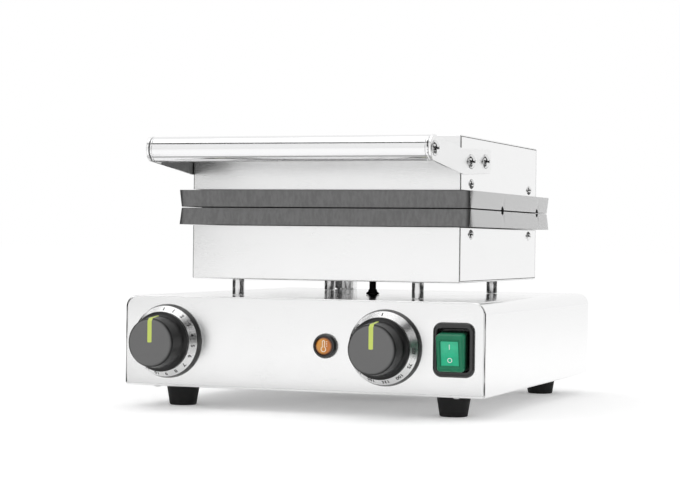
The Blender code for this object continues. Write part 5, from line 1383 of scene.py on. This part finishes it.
@dataclass
class Leads:
    """Sensor lead with its grommet, conduit to the lid with its fittings, and the cord gland."""

    lead: tuple[float, float] = (0.0059, -0.00135)
    lead_radius: float = 0.0029
    base_top: float = BASE_TOP
    sheet: float = SHEET
    grip: float = 0.0003
    plate_bottom: float = 0.1495
    case_back: float = -0.12685
    case_x: float = THERMOSTAT_X
    dial_z: float = DIAL_Z
    conduit: tuple[float, float] = (-0.0800, 0.16365)
    lid_z: float = 0.2083
    lid_back: float = HOUSING_BACK
    conduit_radius: float = 0.0062
    rib_pitch: float = 0.0028
    rib: float = 0.0004
    fitting_flat: float = 0.00918
    fitting_full: float = 0.0107
    fitting_height: float = 0.0145
    collar: float = 0.0078
    collar_height: float = 0.0050
    bow: float = 0.0390
    grommet: tuple[float, float, float] = (0.0030, 0.0038, 0.0056)
    gland: tuple[float, float] = (0.0900, 0.0474)
    gland_radii: tuple[float, float, float] = (0.0042, 0.0080, 0.0119)
    back: float = BACK

    def build(self) -> None:
        """Build the leads' pieces."""
        self.sensor()
        self.fitting("base_hexagon_fitting", Axis.Z, self.conduit, self.base_top, Body.BASE, "base_conduit_fitting")
        self.fitting("lid_hexagon_fitting", Axis.Y, (self.conduit[0], self.lid_z), self.lid_back, Body.LID,
                     "lid_conduit_fitting")
        self.ribbed_conduit()
        self.cord_gland()

    def sensor(self) -> None:
        """Black lead from the thermostat, up through its tapered grommet into the lower housing."""
        x, y = self.lead
        under = self.base_top - self.sheet - self.grip
        run = y - self.case_back
        start, foot = np.array([self.case_x, self.case_back, self.dial_z]), np.array([x, y, under])
        path = curve_points([start, start + (0, run * 0.5, 0), foot - (0, 0, run * 0.3), foot], 40)
        path = np.vstack([path, np.linspace(foot, (x, y, self.plate_bottom), 13)[1:]])
        skin = Skin().tube(hose(path, np.full(len(path), self.lead_radius), 28))
        skin.build("black_sensor_lead", RUBBER, Body.BASE, ["sensor_lead"])
        seat, (bore, throat, brim) = self.base_top + SEAT, self.grommet
        corners = [(bore, under), (throat, under), (throat, seat), (brim, seat), (brim, seat + 0.0013),
                   (0.0041, seat + 0.0022), (0.0034, seat + 0.0044), (bore, seat + 0.0044)]
        profile = fillet(corners, [0, 0, 0.0004, 0.0005, 0.0006, 0.0010, 0.0001, 0], 4)
        skin = Skin().turn(profile, Axis.Z, (x, y), 56, looped=True)
        skin.build("black_grommet", RUBBER, Body.BASE, ["lead_grommet"])

    def fitting(self, name: str, axis: Axis, centre: tuple[float, float], face: float, body: Body, node: str) -> None:
        """Hexagonal fitting whose corners are turned off at both ends, with a round collar.

        Each ring's radius is the hexagon's, or the chamfer cone's where that is less.

        Args:
            name: Name of the piece.
            axis: Axis of the fitting.
            centre: Where the axis stands in its plane.
            face: Place along the axis of the wall that it stands on.
            body: Body that it rides on.
            node: Node that it stands for.
        """
        angles = around(96)
        flat, full, collar, top = self.fitting_flat, self.fitting_full, self.collar, self.fitting_height
        end = top + self.collar_height
        rows = [(collar, -self.sheet - self.grip), (collar, SEAT), (flat, SEAT), (full, 0.0011), (full, top - 0.0011),
                (flat, top), (collar, top), (collar, end), (collar - 0.0012, end)]
        hexagon = polygon_radius(angles, flat, 6)
        rings = [axis.ring(centre, np.minimum(hexagon, limit), angles, face + along) for limit, along in rows]
        Skin().tube(np.array(rings)).build(name, DRAWN, body, [node], sharp=25.0)

    def ribbed_conduit(self) -> None:
        """Metal hose from base to lid: its radius rises and falls as a sine along its length."""
        x, y = self.conduit
        reach = self.fitting_height + self.collar_height + 0.0004
        start = np.array([x, y, self.base_top + reach])
        stop = np.array([x, self.lid_back + reach, self.lid_z])
        path = curve_points([start, start + (0, 0, self.bow), stop + (0, self.bow, 0), stop], 420)
        wave = np.sin(run_along(path) / self.rib_pitch * 2 * math.pi)
        radii = self.conduit_radius - self.rib + self.rib * wave
        item = Skin().tube(hose(path, radii, 32)).build("ribbed_conduit", POLISHED, None, ["lid_conduit"], sharp=60.0)
        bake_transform(item)

    def cord_gland(self) -> None:
        """Black gland on the back panel, turned, with a tapered cap."""
        root, face, end = self.back + SEAT - 0.0066, self.back + SEAT, self.back + 0.0099
        bore, thread, cap = self.gland_radii
        corners = [(bore, root), (thread, root), (thread, face), (cap, face), (cap, face + 0.0042),
                   (0.0112, face + 0.0048), (0.0082, end), (bore, end)]
        profile = fillet(corners, [0, 0, 0, 0.0004, 0.0004, 0.0006, 0.0010, 0.0006], 4)
        skin = Skin().turn(profile, Axis.Y, self.gland, 72, looped=True)
        skin.build("black_cord_gland", BLACK, Body.BASE, ["cord_gland"])


@dataclass
class CookingHalf:
    """One cooking half: folded housing, two side covers with screws, and its cast plate."""

    side: int
    body: Body
    housing: str
    plate: str
    height: float
    parting: float = 0.16335
    width: float = 0.2326
    front: float = HOUSING_FRONT
    back: float = HOUSING_BACK
    sheet: float = SHEET
    bend: float = 0.0013
    cover_gap: float = 0.0004
    fold: float = 0.00105
    reach: float = 0.01495
    screw_ys: tuple[float, float] = (-0.07715, 0.10015)
    screw_drop: float = 0.0055
    plate_width: float = 0.2550
    plate_depth: float = 0.2470
    plate_y: float = 0.0096
    thickness: float = 0.0139
    gap: float = 0.0004
    corner: float = 0.0038
    draft: float = 0.0016
    edge: float = 0.0006
    rows: int = 4
    pitch: float = 0.0556
    mould: float = 0.0430
    neck: float = 0.0220
    length: float = 0.1796
    taper: float = 0.0520
    margin: float = 0.0125
    depth: float = 0.0070
    wall: float = 0.0014
    stick: float = 0.0076
    stick_depth: float = 0.0034
    stud: float = 0.0125
    stud_top: float = 0.0085
    stud_height: float = 0.0048
    stud_row: float = 0.0110
    columns: int = 7
    tail_radius: float = 0.008
    full_width: float = 0.0203
    stick_edge: float = 0.00153
    stick_start: float = 0.004
    tail_lines: tuple[float, ...] = (0.002, 0.0032, 0.005, 0.0075)
    line_gap: float = 0.00012
    boss_x: float = 0.0780
    boss_radius: float = 0.0080

    def level(self, reach: Any) -> Any:
        """Height at a distance from the parting plane, down for the lower half and up for the upper."""
        return self.parting - self.side * reach

    def build(self) -> None:
        """Build every piece of this half."""
        self.tray()
        self.covers()
        self.cast_plate()

    def tray(self) -> None:
        """Sheet folded up in front and behind, drawn over the whole width, its ends rounded on a quarter circle."""
        far = self.reach + self.height
        path = fillet([(self.front, self.level(self.reach)), (self.front, self.level(far)),
                       (self.back, self.level(far)), (self.back, self.level(self.reach))],
                      [0, self.bend, self.bend, 0], 10, closed=False)
        half = []
        for angle in np.radians(np.linspace(0, 90, 7)):
            less = self.fold * (1 - math.sin(angle))
            moved = sheet_section(path, -self.side * less)[len(path):][::-1]
            section = sheet_section(moved, -self.side * (self.sheet - less))
            half += [*drawn(section, Axis.X, [-self.width / 2 + self.fold * (1 - math.cos(angle))])]
        rings = np.array(half + [ring * (-1, 1, 1) for ring in half[::-1]])
        Skin().tube(rings).build(f"{self.housing}_tray", SATIN, self.body, [self.housing])

    def covers(self) -> None:
        """Flat side covers, and the domed screws in them."""
        wall = self.sheet + self.cover_gap
        far = self.reach + self.height - wall
        low, high = sorted((self.level(self.reach), self.level(far)))
        outline = box_outline(self.back - self.front - 2 * wall, high - low, 0.0006,
                              ((self.front + self.back) / 2, (low + high) / 2), 3)
        screws = Skin()
        for hand, word in ((-1, "left"), (1, "right")):
            x = hand * self.width / 2
            rings = drawn(outline, Axis.X, (x - hand * self.sheet, x))
            Skin().tube(rings).build(f"{self.housing}_cover_{word}", SATIN_UPRIGHT, self.body,
                                     [f"{self.housing}_side_{word}"], edge=EDGE)
            for y in self.screw_ys:
                SIDE_SCREW.add_to(screws, Axis.X, (y, self.level(self.reach + self.screw_drop)), x, hand)
        screws.build(f"{self.housing}_side_screws", SCREW, self.body)

    @property
    def tail(self) -> float:
        """Place along a mould of its closed end; its mouth lies a length further."""
        return -self.plate_width / 2 + self.margin

    @property
    def stud_centres(self) -> Array:
        """Places along a mould of its studs."""
        inset = self.stud_row - 0.0005
        run = self.length - self.taper / 2 - 2 * inset
        return self.tail + inset + np.arange(self.columns) * run / (self.columns - 1)

    def half_width(self, u: Array) -> Array:
        """Half width of a mould along its length: round at the tail, straight, then narrowing to the neck."""
        near = np.clip(self.tail_radius - (u - self.tail), 0, self.tail_radius)
        full = self.mould / 2 - self.tail_radius + np.sqrt(self.tail_radius ** 2 - near ** 2)
        narrowing = np.clip((u - (self.tail + self.length - self.taper)) / self.taper, 0, 1)
        return full - narrowing * (self.mould - self.neck) / 2

    def lines_along(self) -> Array:
        """Grid lines along X: at every wall and stud of moulds that open to either side, and at the edges."""
        wall, top = self.wall * RAMP, self.stud_top / 2
        halves = np.array([self.stud / 2, top + 0.0014, top + 0.0006, top])
        studs = self.stud_centres[:, None]
        both = np.concatenate([self.tail + wall, self.tail + self.length - wall,
                               self.tail + np.array(self.tail_lines),
                               (studs - halves).ravel(), (studs + halves).ravel()])
        edge = self.plate_width / 2 - self.draft - self.edge
        corner = edge - self.corner * np.linspace(0, 1, 5)
        lines = np.concatenate([both, -both, corner, -corner, np.linspace(-edge, edge, 60)])
        lines = np.unique(np.round(lines, 5))
        lines = lines[np.abs(lines) <= edge + 1e-6]
        return lines[np.concatenate([[True], np.diff(lines) > self.line_gap])]

    def face_grid(self) -> tuple[Array, Array, Array]:
        """Face of the plate as a grid: x, y and depth under the face.

        Across each mould the lines follow its walls. The depth is the mould's times the lesser of its two
        walls' ramps, less a stud's height times the lesser of that stud's ramps; outside the mould it is the
        stick channel's, which falls from a shoulder to its middle.

        Returns:
            Arrays x, y and depth, each (lines along X, lines along Y).
        """
        x = self.lines_along()
        half_pitch, groove = self.pitch / 2, self.stick / 2
        columns_y, columns_d = [], []
        tail, mouth = self.tail, self.tail + self.length
        slope = (self.stud - self.stud_top) / 2
        near_side, far_side = self.stud_row - self.stud / 2, self.stud_row + self.stud / 2
        near_top, far_top = self.stud_row - self.stud_top / 2, self.stud_row + self.stud_top / 2
        fixed = np.array([0, groove / 2, groove - 0.0001, groove + 0.0001, near_side, near_top - slope / 2, near_top,
                          far_top, far_top + slope / 2, far_side])
        for row in range(self.rows):
            hand = -1 if row % 2 == 0 else 1
            u = hand * x
            half = self.half_width(u)
            foot = half - self.wall
            limit = foot[:, None] * np.linspace(0.0, 0.97, len(fixed))
            inner = np.minimum(fixed, np.maximum(limit, fixed * (foot[:, None] > self.full_width)))
            walls = foot[:, None] + self.wall * RAMP
            v = np.concatenate([inner, walls, np.full((len(x), 1), half_pitch)], axis=1)
            inside = np.interp(u, [tail, tail + self.wall], [0, 1]) * np.interp(u, [mouth - self.wall, mouth], [1, 0])
            across = np.concatenate([np.ones(len(fixed)), 1 - smooth(RAMP), [0.0]])
            hollow = self.depth * np.minimum(smooth(inside)[:, None], across)
            near = np.abs(u[:, None] - self.stud_centres).min(1)
            stud_u = np.clip((self.stud / 2 - near) / slope, 0, 1)
            stud_v = np.clip((self.stud / 2 - np.abs(v - self.stud_row)) / slope, 0, 1)
            lift = np.minimum(stud_u[:, None], stud_v) * (foot[:, None] > far_top)
            hollow = hollow - self.stud_height * lift * (hollow > self.depth * 0.99)
            channel = np.interp(v, [0, groove - 0.00005, groove + 0.00005], [self.stick_depth, self.stick_edge, 0])
            open_end = (u > mouth - self.stick_start)[:, None]
            hollow = np.where(open_end, np.maximum(hollow, channel), hollow)
            middle = self.plate_y + (row - (self.rows - 1) / 2) * self.pitch
            shared = 1 if row else 0
            columns_y.append((np.concatenate([-v[:, :0:-1], v], axis=1) + middle)[:, shared:])
            columns_d.append(np.concatenate([hollow[:, :0:-1], hollow], axis=1)[:, shared:])
        y, d = np.concatenate(columns_y, 1), np.concatenate(columns_d, 1)
        edge = self.plate_depth / 2 - self.draft - self.edge
        extra = edge - self.corner * np.linspace(1, 0, 5)
        high = self.plate_y + extra[extra > self.rows * half_pitch + 0.0003]
        low = (2 * self.plate_y - high)[::-1]
        ones, flat = np.ones((len(x), 1)), np.zeros((len(x), len(high)))
        y = np.concatenate([ones * low, y, ones * high], 1)
        return np.broadcast_to(x[:, None], y.shape), y, np.concatenate([flat, d, flat], 1)

    def cast_plate(self) -> None:
        """Cast plate: its face, a rounded rim, sides with draft, and bosses on its back."""
        x, y, depth = self.face_grid()
        centre = np.array([0.0, self.plate_y])
        flat = np.stack([x, y], -1) - centre
        inner = np.array([self.plate_width, self.plate_depth]) / 2 - self.draft - self.edge - self.corner
        into = flat - np.clip(flat, -inner, inner)
        length = np.maximum(np.linalg.norm(into, axis=-1, keepdims=True), 1e-9)
        flat = np.clip(flat, -inner, inner) + into * np.abs(into).max(-1, keepdims=True) / length
        top = np.concatenate([flat + centre, self.level(self.gap + depth)[..., None]], -1)
        skin = Skin().lid(top)
        rim = np.concatenate([top[0, :-1], top[:-1, -1], top[-1, :0:-1], top[:0:-1, 0]])
        spoke = rim[:, :2] - centre
        spoke = unit(spoke - np.clip(spoke, -inner, inner))
        back = self.level(self.gap + self.thickness)
        turns = np.radians(np.linspace(0, 90, 5))
        share = np.linspace(0.1, 1, 8)
        outward = np.concatenate([self.edge * np.sin(turns), self.edge + self.draft * share])
        rounded = rim[:, 2] - self.side * self.edge * (1 - np.cos(turns))[:, None]
        height = np.concatenate([rounded, rounded[-1] + (back - rounded[-1]) * share[:, None]])
        flat = rim[:, :2] + spoke * outward[:, None, None]
        rings = np.concatenate([flat, height[..., None]], -1)
        index = np.arange(height.size).reshape(height.shape)
        skin.add(rings, joined(index, np.roll(index, -1, 1)) + [index[-1].tolist()])
        boss = [(self.boss_radius, back + self.side * 0.0010), (self.boss_radius, self.level(self.reach - 0.0003))]
        for x in (-self.boss_x, self.boss_x):
            for y in self.screw_ys:
                skin.turn(boss, Axis.Z, (x, y), 40)
        skin.build(f"{self.plate}_casting", PLATE, self.body, [self.plate], sharp=38.0)


@dataclass
class Handle:
    """Lid handle: round bar between two flat brackets, with domed screws."""

    bar_y: float = -0.18135
    bar_z: float = 0.2079
    radius: float = 0.0100
    inner: float = BRACKET_X
    sheet: float = 0.0020
    nose: float = 0.0103
    front: float = HOUSING_FRONT
    tail: float = 0.0773
    middle: float = 0.2024
    tall: float = 0.0203
    corner: float = 0.0035
    screw_inset: float = 0.0205
    screw_pitch: float = 0.0410
    tilt: float = 2.5
    cap: float = 0.0024
    groove: float = 0.0003

    def spot(self, along: float, rise: float) -> tuple[float, float]:
        """Place (y, z) on the tilted rear part of a bracket, from the housing's front and over its middle line."""
        middle = self.screw_inset + self.screw_pitch / 2
        cos, sin = math.cos(math.radians(self.tilt)), math.sin(math.radians(self.tilt))
        return (self.front + middle + (along - middle) * cos - rise * sin,
                self.middle + (along - middle) * sin + rise * cos)

    def build(self) -> None:
        """Build the bar, brackets and screws."""
        end, full = self.inner - SEAT, self.radius
        seam = end - self.cap
        right = [(full, seam - self.groove), (full - self.groove, seam), (full, seam + self.groove),
                 (full, end - 0.0012), (full - 0.0004, end - 0.0004), (full - 0.0012, end), (0.0, end)]
        profile = [(r, -x) for r, x in right[::-1]] + right
        Skin().turn(profile, Axis.X, (self.bar_y, self.bar_z), 128).build(
            "polished_handle_bar", POLISHED, Body.LID, ["handle_bar"], sharp=25.0)
        half = self.tall / 2
        ends = ((0.0, half), (self.tail, half), (self.tail, -half), (0.0, -half))
        rear = fillet([self.spot(*end) for end in ends], [0, self.corner, self.corner, 0], 10)
        outline = np.vstack([rear, arc_points((self.bar_y, self.bar_z), self.nose, 245, 80, 40)])
        for hand, word in ((-1, "left"), (1, "right")):
            x = hand * self.inner
            rings = drawn(outline, Axis.X, (x, x + hand * self.sheet))
            Skin().tube(rings).build(f"flat_bracket_{word}", SATIN_FLAT, Body.LID, [f"handle_bracket_{word}"],
                                     edge=EDGE)
            seat = x + hand * (self.sheet + 0.0001)
            places = {f"bar_screw_{word}": (self.bar_y, self.bar_z),
                      f"bracket_screw_front_{word}": self.spot(self.screw_inset, 0.0),
                      f"bracket_screw_back_{word}": self.spot(self.screw_inset + self.screw_pitch, 0.0)}
            for node, centre in places.items():
                skin = Skin()
                HANDLE_SCREW.add_to(skin, Axis.X, centre, seat, hand)
                skin.build(f"domed_{node}", SCREW, Body.LID, [node])


@dataclass
class Studio:
    """Camera at the photograph's viewpoint, pale floor, white surroundings, dark cards and soft lamps."""

    eye: Point = (0.5667, -1.57455, 0.1361)
    azimuth: float = 0.3596
    pitch: float = 0.002
    roll: float = 0.0119
    focal_pixels: float = 1935.2827
    sensor: float = 36.0
    ambient: float = 0.84
    floor_lift: float = 0.18
    floor_reach: float = 30.0
    floor_tone: float = 0.98
    card_radius: float = 2.2
    card_tone: float = 0.01
    floor_card_z: float = 0.001
    aim: Point = (0.0, 0.0, 0.1)
    cards: tuple[tuple[str, float, float, float, float], ...] = (
        ("right", -42.0, 56.0, 0.02, 0.45), ("right_high", -62.0, 14.0, 0.45, 3.4),
        ("left", 128.0, 234.0, 0.02, 1.0), ("high", -170.0, -104.0, 1.86, 2.50),
    )
    floor_cards: tuple[tuple[str, float, float, float, float, float], ...] = (
        ("front", -0.30, 0.20, -0.262, -0.204, 0.45), ("side", 0.26, 0.46, -0.40, 0.05, 0.15),
        ("left", -2.20, -0.24, -0.34, 0.40, 0.02), ("corner", 0.50, 2.20, -0.80, -0.02, 0.02),
        ("left_front", -2.20, -1.15, -1.60, -0.34, 0.02), ("left_back", -2.20, -0.60, 0.40, 1.60, 0.02),
        ("right_back", 1.10, 2.20, -0.02, 1.50, 0.02),
    )
    lights: tuple[tuple[str, Point, float, float], ...] = (
        ("top", (-0.3, -0.4, 1.8), 1.6, 5.0), ("left", (-1.6, -1.4, 1.1), 0.8, 2.5),
        ("right", (1.8, -0.6, 1.1), 0.8, 2.0),
    )

    def build(self) -> None:
        """Build camera, world, floor, cards and lamps."""
        self.camera()
        self.world()
        self.floor()
        self.dark_cards()
        self.lamps()
        bpy.context.scene.view_settings.view_transform = "Standard"

    def camera(self) -> None:
        """Camera by its eye and three turns."""
        a, p, r = self.azimuth, self.pitch, self.roll
        ahead = np.array([-math.sin(a) * math.cos(p), math.cos(a) * math.cos(p), -math.sin(p)])
        right = np.array([math.cos(a), math.sin(a), 0.0])
        up = np.cross(right, ahead)
        across, over = right * math.cos(r) + up * math.sin(r), up * math.cos(r) - right * math.sin(r)
        data = bpy.data.cameras.new("camera")
        data.sensor_width = self.sensor
        data.lens = self.focal_pixels * self.sensor / IMAGE_WIDTH
        data.clip_start = 0.01
        data.clip_end = 100.0
        item = linked("camera", data)
        turn = Matrix(np.stack([across, over, -ahead], 1).tolist()).to_4x4()
        item.matrix_world = Matrix.Translation(self.eye) @ turn
        bpy.context.scene.camera = item

    def seen_level(self, tree: bpy.types.NodeTree, low: float, high: float) -> bpy.types.NodeSocket:
        """Level that is high on rays from the camera, off gloss and through clear plastic, and low on others."""
        path = tree.nodes.new("ShaderNodeLightPath")
        total = path.outputs["Is Camera Ray"]
        for name in ("Is Glossy Ray", "Is Transmission Ray"):
            both = tree.nodes.new("ShaderNodeMath")
            both.use_clamp = True
            tree.links.new(total, both.inputs[0])
            tree.links.new(path.outputs[name], both.inputs[1])
            total = both.outputs[0]
        level = tree.nodes.new("ShaderNodeMapRange")
        level.inputs["To Min"].default_value = low
        level.inputs["To Max"].default_value = high
        tree.links.new(total, level.inputs["Value"])
        return level.outputs["Result"]

    def world(self) -> None:
        """White to the camera, to gloss and through clear plastic; a plain level of light otherwise."""
        world = bpy.data.worlds.new("studio")
        bpy.context.scene.world = world
        world.use_nodes = True
        shader = world.node_tree.nodes["Background"]
        shader.inputs["Color"].default_value = (1.0, 1.0, 1.0, 1.0)
        level = self.seen_level(world.node_tree, self.ambient, 1.0)
        world.node_tree.links.new(level, shader.inputs["Strength"])

    def staged(self, name: str, grid: Array, tone: float) -> tuple[bpy.types.Object, Graph]:
        """Make a stage object of one grid of points, with a matt grey.

        Args:
            name: Name of the object.
            grid: Its points, (rows, columns, 3).
            tone: Its grey, from 0 to 1.

        Returns:
            The object and its node tree.
        """
        item, graph = linked(name, Skin().lid(grid).mesh(name)), Graph(name)
        graph.feed(graph.shader, {"Base Color": (tone, tone, tone, 1.0), "Roughness": 0.9, "Specular IOR Level": 0.0})
        item.data.materials.append(graph.material)
        return item, graph

    def flat(self, left: float, right: float, near: float, far: float, z: float) -> Array:
        """Grid of the four corners of a level rectangle."""
        return np.array([[(left, y, z), (right, y, z)] for y in (near, far)])

    def floor(self) -> None:
        """White floor that keeps the object's shadow."""
        far = self.floor_reach
        _, graph = self.staged("floor", self.flat(-far, far, -far, far, 0.0), self.floor_tone)
        level = Flow(graph, self.seen_level(graph.tree, 0.0, self.floor_lift))
        graph.feed(graph.shader, {"Emission Color": (1.0, 1.0, 1.0, 1.0), "Emission Strength": level})

    def dark_cards(self) -> None:
        """Dark curved cards round the object, and dark and grey ones on the floor, seen in gloss only."""
        for name, start, stop, low, high in self.cards:
            angles = np.radians(np.linspace(start, stop, 40))[:, None]
            grid = Axis.Z.ring((0, 0), self.card_radius, angles, (low, high))
            self.gloss_only(self.staged(f"{name}_dark_card", grid, self.card_tone)[0])
        for name, *sides, tone in self.floor_cards:
            self.gloss_only(self.staged(f"{name}_floor_card", self.flat(*sides, self.floor_card_z), tone)[0])

    def gloss_only(self, item: bpy.types.Object) -> None:
        """Show a card in reflections alone."""
        item.visible_camera = item.visible_diffuse = item.visible_shadow = False
        item.visible_transmission = item.visible_volume_scatter = False

    def lamps(self) -> None:
        """Large soft lamps above, to the left and to the right."""
        for name, place, size, power in self.lights:
            data = bpy.data.lights.new(name, "AREA")
            data.size, data.energy = size, power
            item = linked(name, data)
            item.location = place
            item.rotation_euler = (Vector(self.aim) - Vector(place)).to_track_quat("-Z", "Y").to_euler()


def main() -> None:
    """Build the studio, then every sub-assembly, and give the plain nodes of the solids their finishes."""
    logging.basicConfig(level=logging.INFO, format="%(name)s %(message)s")
    Studio().build()
    Case().build()
    minutes, degrees = range(1, 16), range(50, 251, 25)
    Control("timer", TIMER_X, Body.TIMER, minutes, first=19.3, pitch=19.3, text_size=0.0046).build()
    Control("thermostat", THERMOSTAT_X, Body.THERMOSTAT, degrees, first=93.0, pitch=26.7, text_size=0.0044).build()
    Lamp().build()
    Rocker().build()
    Leads().build()
    CookingHalf(1, Body.BASE, "lower_housing", "lower_plate", height=0.0442).build()
    CookingHalf(-1, Body.LID, "lid_housing", "upper_plate", height=0.0439).build()
    Handle().build()
    for finish, nodes in PLAIN_NODES.items():
        for node in nodes:
            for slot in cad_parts[node].material_slots:
                slot.material = finish.material()
            log.info("%s: %s", node, finish.name)
    bpy.context.view_layer.update()


if __name__ == "__main__":
    main()
